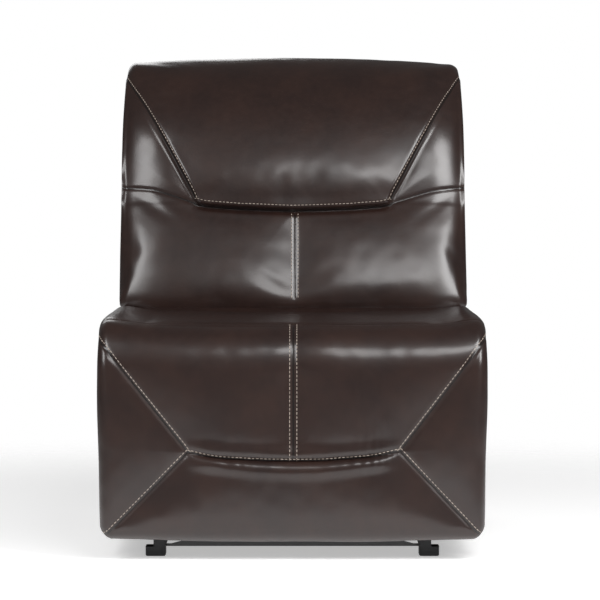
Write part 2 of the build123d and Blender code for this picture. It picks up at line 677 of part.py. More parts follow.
foot_mitre_sum = foot_mitre[0] + foot_mitre[1]
BOARD_LOW = SKIRT_GAP + FOOT_BOARD_LIFT
BOARD_HIGH = foot_mitre_sum - FOOT_BOARD_BACK - FOOT_BOARD_LIFT
with BuildPart() as foot_board:
    with BuildSketch(Plane.XZ.offset(-FOOT_BOARD_BACK)):
        with Locations((0, (BOARD_LOW + BOARD_HIGH) / 2)):
            Rectangle(WIDTH - 2 * FOOT_BOARD_INSET, BOARD_HIGH - BOARD_LOW)
    extrude(amount=FOOT_BOARD_T)
    with BuildSketch(Plane.XZ.offset(-FOOT_BOARD_BACK)):
        with Locations(*foot_screw_spots):
            Circle(SCREW_R)
    extrude(amount=FOOT_BOARD_T - SCREW_COVER, mode=Mode.SUBTRACT)
write(foot_board, "footrest_board")

with BuildPart() as foot_pad:
    with BuildSketch(side_plane(-1, HALF_WIDTH)):
        with BuildLine():
            ThreePointArc(foot_mitre, on_roll(158), on_roll(180))
            hem_front = (FRONT_Y, SKIRT_GAP + FOOT_PAD_RADIUS)
            hem_foot = (FRONT_Y + FOOT_PAD_RADIUS, SKIRT_GAP)
            Line(on_roll(180), hem_front)
            RadiusArc(hem_front, hem_foot, FOOT_PAD_RADIUS)
            Polyline(
                hem_foot,
                (FOOT_BOARD_FRONT, SKIRT_GAP),
                (FOOT_BOARD_FRONT, foot_mitre_sum - FOOT_BOARD_FRONT),
                foot_mitre,
            )
        make_face()
    extrude(amount=WIDTH)
    for _, side in SIDES:
        with BuildSketch(side_plane(side, HALF_WIDTH - FOOT_BOARD_INSET)):
            with BuildLine():
                Polyline(
                    (FOOT_BOARD_FRONT, SKIRT_GAP),
                    (FOOT_BOARD_BACK, SKIRT_GAP),
                    (FOOT_BOARD_BACK, foot_mitre_sum - FOOT_BOARD_BACK),
                    (FOOT_BOARD_FRONT, foot_mitre_sum - FOOT_BOARD_FRONT),
                    close=True,
                )
            make_face()
        extrude(amount=side * FOOT_BOARD_INSET)
    fillet(foot_pad.edges().filter_by(Axis.Z).group_by(Axis.Y)[0], SEAT_EDGE_RADIUS)
write(foot_pad, "footrest_pad")

# ================= release handle =================
# A moulded cup sits flush in the sitter's right-hand panel, and a paddle swings out of it.
CUP_FACE = HALF_WIDTH
CUP_BACK = CUP_FACE - CUP_DEPTH
PADDLE_PIVOT = (CUP_BACK + PADDLE_PIN_INSET, CUP_Z + CUP_HEIGHT / 2 - CUP_WALL - PADDLE_PIN_DROP)
with BuildPart() as cup:
    with BuildSketch(side_plane(-1, CUP_BACK)):
        with Locations((CUP_Y, CUP_Z)):
            RectangleRounded(CUP_LENGTH, CUP_HEIGHT, CUP_CORNER)
    extrude(amount=-CUP_DEPTH)
    with BuildSketch(side_plane(-1, CUP_BACK + CUP_WALL)):
        with Locations((CUP_Y, CUP_Z)):
            RectangleRounded(CUP_LENGTH - 2 * CUP_WALL, CUP_HEIGHT - 2 * CUP_WALL, CUP_CORNER - CUP_WALL)
    extrude(amount=-CUP_DEPTH, mode=Mode.SUBTRACT)
    with BuildSketch(Plane.XZ.offset(-(CUP_Y - CUP_LENGTH / 2 + CUP_WALL))):
        with Locations((-PADDLE_PIVOT[0], PADDLE_PIVOT[1])):
            Circle(PADDLE_PIN_R)
    extrude(amount=2 * CUP_WALL - CUP_LENGTH)
write(cup, "release_cup")

with BuildPart() as paddle:
    half = CUP_LENGTH / 2 - CUP_WALL - PADDLE_GAP - PADDLE_END
    with BuildSketch(Plane.XZ.offset(-(CUP_Y - half))):
        with Locations((-PADDLE_PIVOT[0], PADDLE_PIVOT[1])):
            Circle(PADDLE_EYE)
        with Locations((-PADDLE_PIVOT[0], PADDLE_PIVOT[1] - PADDLE_LENGTH / 2)):
            Rectangle(PADDLE_T, PADDLE_LENGTH)
        with Locations((-PADDLE_PIVOT[0] + PADDLE_BEAD_SHIFT, PADDLE_PIVOT[1] - PADDLE_LENGTH)):
            Circle(PADDLE_BEAD)
        with Locations((-PADDLE_PIVOT[0], PADDLE_PIVOT[1])):
            Circle(PADDLE_PIN_R + RUN, mode=Mode.SUBTRACT)
    extrude(amount=-2 * half)
write(paddle, "release_paddle")

# ================= back frame =================
ARM_SCREWS = [(ARM_FIRST_SCREW + count * ARM_SCREW_STEP, ARM_LINE) for count in range(3)]
ARM_FRONT = BACK_RAIL_STEP
ARM_REAR = ARM_LINE - ARM_RISE + LAYER_GAP
for name, side in SIDES:
    plane = BACK_SIDE.offset(side * LINK_INNER)
    with BuildPart() as back_bracket:
        with BuildSketch(plane):
            with BuildLine():
                Polyline(
                    (0, -ARM_EYE),
                    (BACK_RAIL_FOOT + BACK_RAIL_STEP, ARM_REAR),
                    (ARM_TOP, ARM_REAR),
                    (ARM_TOP, ARM_FRONT),
                    (BACK_RAIL_FOOT, ARM_FRONT),
                    (0, ARM_EYE),
                    close=True,
                )
            make_face()
            Circle(ARM_EYE)
            Circle(PIN_R + RUN, mode=Mode.SUBTRACT)
            with Locations(*ARM_SCREWS):
                Circle(SCREW_R, mode=Mode.SUBTRACT)
        extrude(amount=side * STEEL)
    write(back_bracket, f"back_bracket_{name}")
    with BuildPart() as back_rail:
        with BuildSketch(BACK_SIDE.offset(side * BACK_RAIL_INNER)):
            with BuildLine():
                Polyline(
                    (BACK_RAIL_FOOT, FRAME_REAR),
                    (BACK_RAIL_TOP - BACK_RAIL_CORNER, FRAME_REAR),
                    (BACK_RAIL_TOP, FRAME_REAR + BACK_RAIL_STEP),
                    (BACK_RAIL_TOP, BACK_FRAME_FRONT - BACK_RAIL_CROWN),
                    (BACK_RAIL_TOP - BACK_RAIL_TAPER, BACK_FRAME_FRONT),
                    (BACK_RAIL_FOOT, BACK_FRAME_FRONT),
                    close=True,
                )
            make_face()
            with Locations(*ARM_SCREWS):
                Circle(SCREW_R, mode=Mode.SUBTRACT)
        extrude(amount=side * BACK_RAIL_T)
    write(back_rail, f"back_side_rail_{name}")

with BuildPart() as back_screws:
    for name, side in SIDES:
        with BuildSketch(BACK_SIDE.offset(side * LINK_INNER)):
            with Locations(*ARM_SCREWS):
                Circle(SCREW_R)
        extrude(amount=side * (STEEL + BACK_RAIL_T))
        with BuildSketch(BACK_SIDE.offset(side * LINK_INNER)):
            with Locations(*ARM_SCREWS):
                Circle(SCREW_HEAD_R)
        extrude(amount=-side * SCREW_HEAD_T)
write(back_screws, "back_bracket_screws")

SPRING_FACE = BACK_FRAME_FRONT - SPRING_INSET
for name, foot_v, half in (
    ("top", BACK_RAIL_TOP - BACK_CROSS_HEIGHT, BACK_RAIL_INNER),
    ("bottom", BACK_RAIL_FOOT, LINK_INNER),
):
    with BuildPart() as back_cross:
        with BuildSketch(BACK_FACE.offset(SPRING_FACE)):
            with Locations((0, foot_v + BACK_CROSS_HEIGHT / 2)):
                Rectangle(2 * half, BACK_CROSS_HEIGHT)
        extrude(amount=-CROSS_RAIL_T)
    write(back_cross, f"back_{name}_rail")

with BuildPart() as back_springs:
    low = BACK_RAIL_FOOT + BACK_CROSS_HEIGHT - CLIP_LENGTH
    high = BACK_RAIL_TOP - BACK_CROSS_HEIGHT + CLIP_LENGTH
    start = Plane(
        origin=BACK_FACE.from_local_coords(Vector(0, low, SPRING_FACE + WIRE_R)),
        x_dir=BACK_FACE.x_dir,
        z_dir=BACK_FACE.z_dir,
    )
    spring_row(start, high - low)
write(back_springs, "back_springs")

# ================= back upholstery =================
SPLINE_FOOT = LUMBAR_FOOT - PANEL_NOSE_RUN
CAP_FOOT = BACK_RAIL_TOP + 2 * LAYER_GAP
CAP_HALF = HALF_BACK - HEAD_INSET
BULGE_FOOT = 12.0
BULGE_RISE = 80.0
HEAD_RISE = 60.0
HEAD_FALL = 110.0
HEAD_FALL_DEPTH = 78.0
CROWN_FRONT = 20.0
CROWN_FRONT_DEPTH = 10.0
CROWN_TOP_DEPTH = -45.0


def back_outline(bulge):
    """Side outline of the back's padding, from the lumbar's foot over the head to the rear."""
    with BuildLine() as outline:
        foot = (SPLINE_FOOT, BACK_FRAME_FRONT + bulge - BULGE_FOOT)
        rear = (BACK_LENGTH - TOP_STEP, REAR_TOP_N)
        Spline(
            foot,
            (LUMBAR_FOOT + BULGE_RISE, BACK_FRAME_FRONT + bulge),
            (HEAD_FOOT + HEAD_RISE, BACK_FRAME_FRONT + bulge - 3 * LAYER_GAP),
            (BACK_LENGTH - HEAD_FALL, BACK_FRAME_FRONT + HEAD_FALL_DEPTH),
            (BACK_LENGTH - CROWN_FRONT, BACK_FRAME_FRONT + CROWN_FRONT_DEPTH),
            (BACK_LENGTH, BACK_FRAME_FRONT + CROWN_TOP_DEPTH),
            rear,
        )
        Polyline(rear, (SPLINE_FOOT, REAR_TOP_N), foot)
    make_face(outline.edges())


def padded_block(label, bulge, cuts):
    """Round-edged padding of the back, kept where its cuts (low n, high n, corners) are."""
    with BuildPart() as front_view:
        for low, high, corners in cuts:
            with BuildSketch(BACK_FACE.offset(low)) as cut:
                Polygon(*corners, align=None)
            extrude(cut.sketch, amount=high - low)
    with BuildPart() as block:
        with BuildSketch(BACK_SIDE.offset(-HALF_BACK)):
            back_outline(bulge)
        extrude(amount=BACK_WIDTH)
        fillet(block.edges().filter_by(GeomType.BSPLINE), PAD_RADIUS)
        add(front_view.part, mode=Mode.INTERSECT)
    write(block, label)


PAD_LIMIT = BACK_FRAME_FRONT + HEAD_DEPTH + BULGE_FOOT
HEAD_CORNERS = (
    (-HEAD_HALF_FOOT, HEAD_FOOT + SEAM_GAP),
    (HEAD_HALF_FOOT, HEAD_FOOT + SEAM_GAP),
    (CAP_HALF, BACK_LENGTH),
    (-CAP_HALF, BACK_LENGTH),
)
CAP_CORNERS = ((-CAP_HALF, CAP_FOOT), (CAP_HALF, CAP_FOOT), (CAP_HALF, BACK_LENGTH), (-CAP_HALF, BACK_LENGTH))
LUMBAR_CORNERS = (
    (-HALF_BACK, LUMBAR_FOOT),
    (HALF_BACK, LUMBAR_FOOT),
    (HALF_BACK, HEAD_FOOT),
    (-HALF_BACK, HEAD_FOOT),
)
padded_block("lumbar_cushion", LUMBAR_DEPTH, [(BACK_FRAME_FRONT, PAD_LIMIT, LUMBAR_CORNERS)])
padded_block(
    "head_cushion",
    LUMBAR_DEPTH,
    [(BACK_FRAME_FRONT, PAD_LIMIT, HEAD_CORNERS), (REAR_TOP_N, BACK_FRAME_FRONT, CAP_CORNERS)],
)
for name, side in SIDES:
    wing_corners = (
        (side * (HEAD_HALF_FOOT + SEAM_GAP), HEAD_FOOT + SEAM_GAP),
        (side * (CAP_HALF + SEAM_GAP), BACK_LENGTH),
        (side * HALF_BACK, BACK_LENGTH),
        (side * HALF_BACK, HEAD_FOOT + SEAM_GAP),
    )
    padded_block(f"wing_cushion_{name}", WING_DEPTH, [(BACK_FRAME_FRONT, PAD_LIMIT, wing_corners)])

with BuildPart() as outer_back:
    with BuildSketch(BACK_SIDE.offset(-HALF_BACK)):
        with BuildLine():
            Line((LINER_FOOT, BACK_OUTER), (REAR_TOP_V, BACK_OUTER))
            RadiusArc((REAR_TOP_V, BACK_OUTER), (REAR_TOP_V + TOP_RADIUS, REAR_TOP_N), -TOP_RADIUS)
            Line((REAR_TOP_V + TOP_RADIUS, REAR_TOP_N), (REAR_TOP_V + TOP_RADIUS - BACK_LINER, REAR_TOP_N))
            RadiusArc(
                (REAR_TOP_V + TOP_RADIUS - BACK_LINER, REAR_TOP_N),
                (REAR_TOP_V, FRAME_REAR),
                TOP_RADIUS - BACK_LINER,
            )
            Polyline((REAR_TOP_V, FRAME_REAR), (LINER_FOOT, FRAME_REAR), (LINER_FOOT, BACK_OUTER))
        make_face()
    extrude(amount=BACK_WIDTH)
    with BuildSketch(BACK_FACE.offset(BACK_OUTER)):
        for _, side in SIDES:
            with Locations((side * (NARROW_HALF + HALF_BACK) / 2, (LINER_FOOT + WIDE_FOOT) / 2)):
                Rectangle(HALF_BACK - NARROW_HALF, WIDE_FOOT - LINER_FOOT)
    extrude(amount=BACK_LINER, mode=Mode.SUBTRACT)
write(outer_back, "outer_back")

for name, side in SIDES:
    with BuildPart() as back_side:
        with BuildSketch(BACK_SIDE.offset(side * (HALF_BACK - BACK_LINER))):
            with BuildLine():
                Polyline(
                    (WIDE_FOOT, FRAME_REAR),
                    (REAR_TOP_V, FRAME_REAR),
                    (CAP_FOOT, FRAME_REAR + BACK_RAIL_STEP - 2 * LAYER_GAP),
                    (CAP_FOOT, BACK_FRAME_FRONT),
                    (WIDE_FOOT, BACK_FRAME_FRONT),
                    close=True,
                )
            make_face()
        extrude(amount=side * BACK_LINER)
    write(back_side, f"back_side_panel_{name}")
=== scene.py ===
"""Looks of an armless leather recliner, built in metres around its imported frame.

Points of the chair's side view are (y, z) pairs in millimetres. A pattern on a leather shell is
laid out flat as (across, along): millimetres from the middle plane and along the leather.
"""

from __future__ import annotations

import logging
import math
from collections.abc import Sequence
from dataclasses import dataclass, field
from enum import Enum

import bpy
import numpy as np
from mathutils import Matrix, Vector

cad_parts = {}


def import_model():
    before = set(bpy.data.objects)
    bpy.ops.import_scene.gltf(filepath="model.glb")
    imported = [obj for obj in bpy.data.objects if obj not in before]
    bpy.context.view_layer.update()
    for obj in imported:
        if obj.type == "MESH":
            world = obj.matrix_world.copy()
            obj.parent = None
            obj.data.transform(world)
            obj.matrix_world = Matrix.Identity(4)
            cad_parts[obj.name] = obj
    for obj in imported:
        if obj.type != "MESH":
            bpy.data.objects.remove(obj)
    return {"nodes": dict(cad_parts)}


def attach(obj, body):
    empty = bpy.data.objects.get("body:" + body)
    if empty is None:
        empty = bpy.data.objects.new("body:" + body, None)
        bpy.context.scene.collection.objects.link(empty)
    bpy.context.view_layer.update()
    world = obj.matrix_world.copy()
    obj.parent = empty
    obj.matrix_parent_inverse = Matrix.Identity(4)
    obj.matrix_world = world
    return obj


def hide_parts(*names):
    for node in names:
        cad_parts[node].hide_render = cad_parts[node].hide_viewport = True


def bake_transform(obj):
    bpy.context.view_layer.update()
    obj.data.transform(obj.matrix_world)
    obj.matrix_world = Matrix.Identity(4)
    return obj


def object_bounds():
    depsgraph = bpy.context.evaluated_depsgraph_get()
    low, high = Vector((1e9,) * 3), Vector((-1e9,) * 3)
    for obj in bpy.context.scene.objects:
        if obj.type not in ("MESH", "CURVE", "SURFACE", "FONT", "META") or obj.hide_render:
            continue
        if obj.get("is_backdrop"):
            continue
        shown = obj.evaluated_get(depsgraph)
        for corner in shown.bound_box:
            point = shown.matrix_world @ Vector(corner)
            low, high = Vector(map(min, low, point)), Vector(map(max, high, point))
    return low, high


MM = 0.001
QUARTER = math.pi / 2
LOG = logging.getLogger("recliner")
Flat = tuple[float, float]
Spot = tuple[float, float, float]
Array = np.ndarray
Tree, Socket = bpy.types.NodeTree, bpy.types.NodeSocket
Material, Object = bpy.types.Material, bpy.types.Object


# ---------------------------------------------------------------- helpers


def smooth(value: Array, low: float, high: float) -> Array:
    """Ease from 0 at low to 1 at high, in either direction."""
    t = np.clip((np.asarray(value, float) - low) / (high - low), 0.0, 1.0)
    return t * t * (3 - 2 * t)


def bell(value: Array, middle: float, width: float) -> Array:
    """Bell curve of height 1 around a middle."""
    return np.exp(-(((value - middle) / width) ** 2))


def length_along(line: Array) -> Array:
    """Length along a line at each of its points."""
    return np.concatenate([[0], np.cumsum(np.linalg.norm(np.diff(line, axis=0), axis=1))])


def read_table(wanted: Array, rows: Sequence[Sequence[float]]) -> Array:
    """Read a table between its rows, by the first column, and give the other columns."""
    table = np.array(rows, float)
    return np.column_stack([np.interp(wanted, table[:, 0], column) for column in table[:, 1:].T])


def add_object(name: str, data: bpy.types.ID) -> Object:
    """Make an object at the origin and link it to the scene."""
    obj = bpy.data.objects.new(name, data)
    bpy.context.scene.collection.objects.link(obj)
    return obj


def mesh_object(name: str, verts: Array, faces: list, material: Material) -> Object:
    """Make a smooth-shaded mesh object at the origin.

    Args:
        name: The object's name.
        verts: Points in metres, one row each.
        faces: Vertex numbers of each face.
        material: The finish of the whole mesh.

    Returns:
        The new object, linked to the scene.
    """
    mesh = bpy.data.meshes.new(name)
    mesh.from_pydata(verts.tolist(), [], faces)
    mesh.materials.append(material)
    mesh.polygons.foreach_set("use_smooth", [True] * len(mesh.polygons))
    mesh.update()
    return add_object(name, mesh)


def closed_faces(rows: int, cols: int) -> list[list[int]]:
    """Faces of a grid of points that runs round in its columns, wound to face outwards.

    Args:
        rows: Stations of the grid.
        cols: Points in each station.

    Returns:
        Vertex numbers of each quad, station by station, and then of the two end caps.
    """
    numbers = np.arange(rows * cols).reshape(rows, cols)
    after = np.roll(numbers, -1, axis=1)
    quads = np.stack([numbers[:-1], numbers[1:], after[1:], after[:-1]], axis=-1).reshape(-1, 4)
    return quads.tolist() + [numbers[0].tolist(), numbers[-1, ::-1].tolist()]


def vectors_of(vertices: bpy.types.MeshVertices, name: str) -> Array:
    """Read a vector of every vertex, one row each."""
    values = np.empty(len(vertices) * 3)
    vertices.foreach_get(name, values)
    return values.reshape(-1, 3)


def to_plain_mesh(obj: Object) -> None:
    """Replace an object's mesh by its evaluated one and drop its modifiers."""
    bpy.context.view_layer.update()
    graph = bpy.context.evaluated_depsgraph_get()
    mesh = bpy.data.meshes.new_from_object(
        obj.evaluated_get(graph), preserve_all_data_layers=True, depsgraph=graph
    )
    obj.modifiers.clear()
    obj.data = mesh


def path_distance(across: Array, along: Array, path: Sequence[Flat]) -> Array:
    """Distance of each flat point to a row of straight runs.

    Args:
        across: Flat points' first values, in millimetres.
        along: Flat points' second values, in millimetres.
        path: The points that the runs join.

    Returns:
        The distances in millimetres.
    """
    best = np.full(across.shape, 1e6)
    for (ax, ay), (bx, by) in zip(path, path[1:]):
        dx, dy = bx - ax, by - ay
        t = np.clip(((across - ax) * dx + (along - ay) * dy) / (dx * dx + dy * dy), 0, 1)
        best = np.minimum(best, np.hypot(across - ax - t * dx, along - ay - t * dy))
    return best


def ripple(across: Array, along: Array, size: float, seed: int, waves: int = 14) -> Array:
    """Soft random unevenness made of crossed waves, from about -1 to 1.

    Args:
        across: Flat points' first values.
        along: Flat points' second values.
        size: Typical width of a hump in millimetres.
        seed: Fixed seed of the wave set.
        waves: Number of waves added together.

    Returns:
        The height at each point.
    """
    rng = np.random.default_rng(seed)
    total = np.zeros(across.shape)
    for _ in range(waves):
        turn, phase = rng.uniform(0, math.tau, 2)
        length = size * rng.uniform(1.4, 2.8)
        way = across * math.cos(turn) + along * math.sin(turn)
        total += np.sin(way * math.tau / length + phase)
    return total / math.sqrt(waves)


# ---------------------------------------------------------------- shader nodes


def paint(hex_colour: str) -> tuple[float, float, float, float]:
    """Turn an sRGB hex colour to the linear values that a shader takes.

    Args:
        hex_colour: Six hex digits, with or without a leading hash.

    Returns:
        Linear red, green, blue and an alpha of 1.
    """
    digits = hex_colour.lstrip("#")
    parts = [int(digits[i : i + 2], 16) / 255 for i in (0, 2, 4)]
    red, green, blue = (p / 12.92 if p <= 0.04045 else ((p + 0.055) / 1.055) ** 2.4 for p in parts)
    return (red, green, blue, 1.0)


def add_node(
    tree: Tree, kind: str, inputs: dict | None = None, out: int | str = 0, **settings: object
) -> Socket | None:
    """Add a node with its settings, fixed inputs and links.

    Args:
        tree: The tree that gets the node.
        kind: The node's type name.
        inputs: Value or output socket for each input, by name or number.
        out: Name or number of the output that is wanted.
        **settings: Attributes of the node.

    Returns:
        The wanted output, or None from a node that has none.
    """
    node = tree.nodes.new(kind)
    for name, value in settings.items():
        setattr(node, name, value)
    for key, value in (inputs or {}).items():
        if isinstance(value, Socket):
            tree.links.new(value, node.inputs[key])
        else:
            node.inputs[key].default_value = value
    return node.outputs[out] if node.outputs else None


def blank_material(name: str) -> tuple[Material, Tree]:
    """Make a material and empty its node tree."""
    material = bpy.data.materials.new(name)
    material.use_nodes = True
    material.node_tree.nodes.clear()
    return material, material.node_tree


def shade(tree: Tree, inputs: dict) -> None:
    """End a material's tree with a principled surface."""
    surface = add_node(tree, "ShaderNodeBsdfPrincipled", inputs)
    add_node(tree, "ShaderNodeOutputMaterial", {"Surface": surface})


def noise(tree: Tree, place: Socket, scale: float, detail: float) -> Socket:
    """Noise of a scale, in humps a metre, and a number of octaves."""
    inputs = {"Vector": place, "Scale": scale, "Detail": detail}
    return add_node(tree, "ShaderNodeTexNoise", inputs, "Fac")


def remap(
    tree: Tree, value: Socket, span: Flat, to: Flat = (0.0, 1.0), ease: str = "LINEAR"
) -> Socket:
    """Map one span of a value to another, eased between and clamped at both ends."""
    inputs = {0: value, 1: span[0], 2: span[1], 3: to[0], 4: to[1]}
    return add_node(tree, "ShaderNodeMapRange", inputs, interpolation_type=ease)


def combine(
    tree: Tree, operation: str, first: Socket, second: Socket, clamp: bool = False
) -> Socket:
    """Combine two values by an arithmetic operation."""
    inputs = {0: first, 1: second}
    return add_node(tree, "ShaderNodeMath", inputs, operation=operation, use_clamp=clamp)


def mixed(tree: Tree, factor: Socket, low: object, high: object) -> Socket:
    """Mix two colours, each a value or a socket, by a factor."""
    inputs = {"Factor": factor, 6: low, 7: high}
    return add_node(tree, "ShaderNodeMix", inputs, 2, data_type="RGBA")


def bumped(tree: Tree, height: Socket, strength: float, depth_mm: float, **more: object) -> Socket:
    """Bump a surface by a pattern, on top of the Normal of another bump where that is given."""
    inputs = {"Height": height, "Strength": strength, "Distance": depth_mm * MM, **more}
    return add_node(tree, "ShaderNodeBump", inputs)


# ---------------------------------------------------------------- finishes


class Coords(Enum):
    """Where a finish's pattern is anchored."""

    OBJECT = "Object"
    UV = "UV"


@dataclass(frozen=True)
class Seam:
    """A seam on a shell's flat pattern, all in millimetres.

    Attributes:
        path: Where it runs.
        pull: How deep it draws the leather in.
        reach: How far beside it a panel takes to swell.
        rows: Distance of each row of topstitching from it.
        line_width: Half the width of its groove and of the shade painted along it.
    """

    path: tuple[Flat, ...]
    pull: float = 2.2
    reach: float = 22.0
    rows: tuple[float, ...] = (4.0,)
    line_width: float = 2.6


@dataclass(frozen=True)
class CoatedLeather:
    """Corrected-grain upholstery leather, dyed dark brown and topped with a clear coat.

    The coat gives soft window-like highlights; the faint pebble of the plate-embossed grain breaks
    them up, and the dye lies a little unevenly.
    """

    name: str
    coords: Coords
    seams: tuple[Seam, ...] = ()
    dark: str = "#221512"
    light: str = "#2c1c17"
    # Painted shade: the darker colour laid along each seam's groove.
    seam_shade_colour: str = "#120b09"
    grain_mm: float = 2.4
    grain_depth_mm: float = 0.4
    crease_mm: float = 14.0
    crease_depth_mm: float = 1.4
    groove_depth_mm: float = 1.6
    roughness: Flat = (0.4, 0.47)

    def build(self) -> Material:
        """Make the material.

        Returns:
            The finished material.
        """
        material, tree = blank_material(self.name)
        place = add_node(tree, "ShaderNodeTexCoord", out=self.coords.value)
        clouding = {"Vector": place, "Scale": 9.0, "Detail": 4.0, "Roughness": 0.6}
        cloud = add_node(tree, "ShaderNodeTexNoise", clouding, "Fac")
        crease = noise(tree, place, 1 / (self.crease_mm * MM), 6.0)
        cells = {"Vector": place, "Scale": 1 / (self.grain_mm * MM)}
        grain = add_node(tree, "ShaderNodeTexVoronoi", cells, "Distance", feature="SMOOTH_F1")
        tone = remap(tree, cloud, (0.35, 0.68))
        speck = remap(tree, crease, (0.3, 0.7), (-0.05, 0.05))
        blend = combine(tree, "ADD", tone, speck, clamp=True)
        colour = mixed(tree, blend, paint(self.dark), paint(self.light))
        normal = bumped(tree, grain, 0.25, self.grain_depth_mm)
        normal = bumped(tree, crease, 0.3, self.crease_depth_mm, Normal=normal)
        groove = self._grooves(tree, place)
        if groove is not None:
            sunk = {"Height": groove, "Strength": 0.9, "Distance": self.groove_depth_mm * MM}
            normal = add_node(tree, "ShaderNodeBump", {**sunk, "Normal": normal}, invert=True)
            # Painted shade along the seams: the groove mask darkens the leather there.
            colour = mixed(tree, groove, colour, paint(self.seam_shade_colour))
        surface = {
            "Base Color": colour,
            "Roughness": remap(tree, crease, (0.3, 0.7), self.roughness),
            "IOR": 1.5,
            "Specular IOR Level": 0.22,
            "Coat Weight": 0.55,
            "Coat Roughness": 0.23,
            "Coat IOR": 1.7,
            "Normal": normal,
        }
        shade(tree, surface)
        return material

    def _grooves(self, tree: Tree, place: Socket) -> Socket | None:
        """Draw every straight run of the seams as a soft line, which sinks the groove and paints
        shade in it.

        Args:
            tree: The tree that gets the nodes.
            place: Position on the flat pattern, in metres.

        Returns:
            A value that is 1 in a seam's middle and 0 beside it, or None without seams.
        """
        total = None
        runs = [(run, s.line_width) for s in self.seams for run in zip(s.path, s.path[1:])]
        for ((ax, ay), (bx, by)), width in runs:
            dx, dy = (bx - ax) * MM, (by - ay) * MM
            middle = ((ax + bx) / 2 * MM, (ay + by) / 2 * MM, 0)
            turn = {"Vector": place, "Location": middle, "Rotation": (0, 0, math.atan2(dy, dx))}
            local = add_node(tree, "ShaderNodeMapping", turn, vector_type="TEXTURE")
            size = add_node(tree, "ShaderNodeVectorMath", {0: local}, operation="ABSOLUTE")
            along = add_node(tree, "ShaderNodeSeparateXYZ", {0: size})
            half = math.hypot(dx, dy) / 2
            inside = remap(tree, along, (half + 0.5 * MM, half + 2 * MM), (1.0, 0.0))
            beside = along.node.outputs[1]
            line = remap(tree, beside, (0.0, width * MM), (1.0, 0.0), "SMOOTHSTEP")
            drawn = combine(tree, "MULTIPLY", inside, line)
            total = drawn if total is None else combine(tree, "MAXIMUM", total, drawn)
        return total


@dataclass(frozen=True)
class PlainFinish:
    """A finish of one body: a base with fine mottling, set roughness and a small bump."""

    name: str
    dark: str
    light: str
    roughness: Flat
    grain_mm: float
    bump_mm: float
    metallic: float = 0.0
    stretch: Spot = (1.0, 1.0, 1.0)
    coat: float = 0.0

    def build(self) -> Material:
        """Make the material.

        Returns:
            The finished material.
        """
        material, tree = blank_material(self.name)
        place = add_node(tree, "ShaderNodeTexCoord", out=Coords.OBJECT.value)
        place = add_node(tree, "ShaderNodeMapping", {"Vector": place, "Scale": self.stretch})
        grain = noise(tree, place, 1 / (self.grain_mm * MM), 5.0)
        both = combine(tree, "ADD", grain, noise(tree, place, 0.08 / (self.grain_mm * MM), 3.0))
        tone = remap(tree, both, (0.7, 1.3))
        surface = {
            "Base Color": mixed(tree, tone, paint(self.dark), paint(self.light)),
            "Metallic": self.metallic,
            "Roughness": remap(tree, both, (0.7, 1.3), self.roughness),
            "Coat Weight": self.coat,
            "Normal": bumped(tree, grain, 0.5, self.bump_mm),
        }
        shade(tree, surface)
        return material


# Spun polyester upholstery thread, greyish tan: a dull fibre that catches light on its twist.
THREAD = PlainFinish("polyester_thread", "#96897e", "#bbaea2", (0.55, 0.7), 0.6, 0.05)
# Pine and plywood, band-sawn: pale, with long streaks along the board.
ALONG_BOARD = (0.12, 1.0, 1.0)
TIMBER = PlainFinish(
    "sawn_timber", "#a9845a", "#c9a878", (0.6, 0.8), 5.0, 0.3, stretch=ALONG_BOARD
)
# The same boards stained near black where a gap of the covers would show them.
STAINED_TIMBER = PlainFinish(
    "stained_timber", "#17110e", "#241b16", (0.55, 0.7), 5.0, 0.3, stretch=ALONG_BOARD
)
# Powder-coated steel: black with a fine orange peel.
BLACK_STEEL = PlainFinish(
    "powder_coated_steel", "#121212", "#1b1b1c", (0.38, 0.5), 1.6, 0.12, coat=0.2
)
# Electro-coated mild steel stampings: thin satin black over rolled steel.
MECHANISM = PlainFinish(
    "e_coated_steel", "#17181a", "#222326", (0.4, 0.55), 2.4, 0.06, metallic=0.25
)
# Moulded polypropylene: black, matt, with a fine spark-eroded texture.
PLASTIC = PlainFinish("moulded_polypropylene", "#141415", "#1d1d1f", (0.5, 0.62), 0.9, 0.08)
# Zinc-plated steel fasteners: bright, slightly blue, tumbled.
ZINC = PlainFinish(
    "zinc_plated_steel", "#9b9c9e", "#c6c7c9", (0.28, 0.42), 1.8, 0.02, metallic=1.0
)
# Oil-tempered spring wire: dark grey with a dull sheen.
SPRING_WIRE = PlainFinish(
    "oil_tempered_wire", "#3b3d40", "#54565a", (0.38, 0.5), 1.5, 0.02, metallic=1.0
)


# ---------------------------------------------------------------- leather shells


# Distance between the columns of a cover's face, in millimetres.
COLUMN = 3.7
# Width of the groove at a seam, and how far the side walls swell.
GROOVE_WIDTH = 3.6
WALL_SWELL = 1.5
# How far the backing, and the strip between it and the side wall, end inside the side.
BACKING_INSET = 19.0
STRIP_INSET = 18.5
# The cloth: its mesh, the stretch of the way round that its backing holds, and its settings.
CLOTH_STEP = 11.0
BACKED = (3.6, 7.4)
CLOTH_PRESSURE = 2.0
CLOTH_TENSION = 40.0
CLOTH_BENDING = 0.4
CLOTH_FRAMES = 20
CLOTH_SMOOTHING = 8


def curve_through(points: Sequence[Flat], step: float) -> Array:
    """Smooth line through points, evenly divided.

    Args:
        points: The points it passes through.
        step: Wanted distance between the samples, in millimetres.

    Returns:
        The samples, one row each.
    """
    p = np.array(points, float)
    ends = np.vstack([2 * p[0] - p[1], p, 2 * p[-1] - p[-2]])
    rows = []
    for i in range(len(p) - 1):
        a, b, c, d = ends[i : i + 4]
        t = np.linspace(0, 1, 40, endpoint=False)[:, None]
        bend = (2 * a - 5 * b + 4 * c - d) * t**2 + (3 * b - a - 3 * c + d) * t**3
        rows.append(0.5 * (2 * b + (c - a) * t + bend))
    dense = np.vstack([*rows, p[-1:]])
    return even(dense, step)


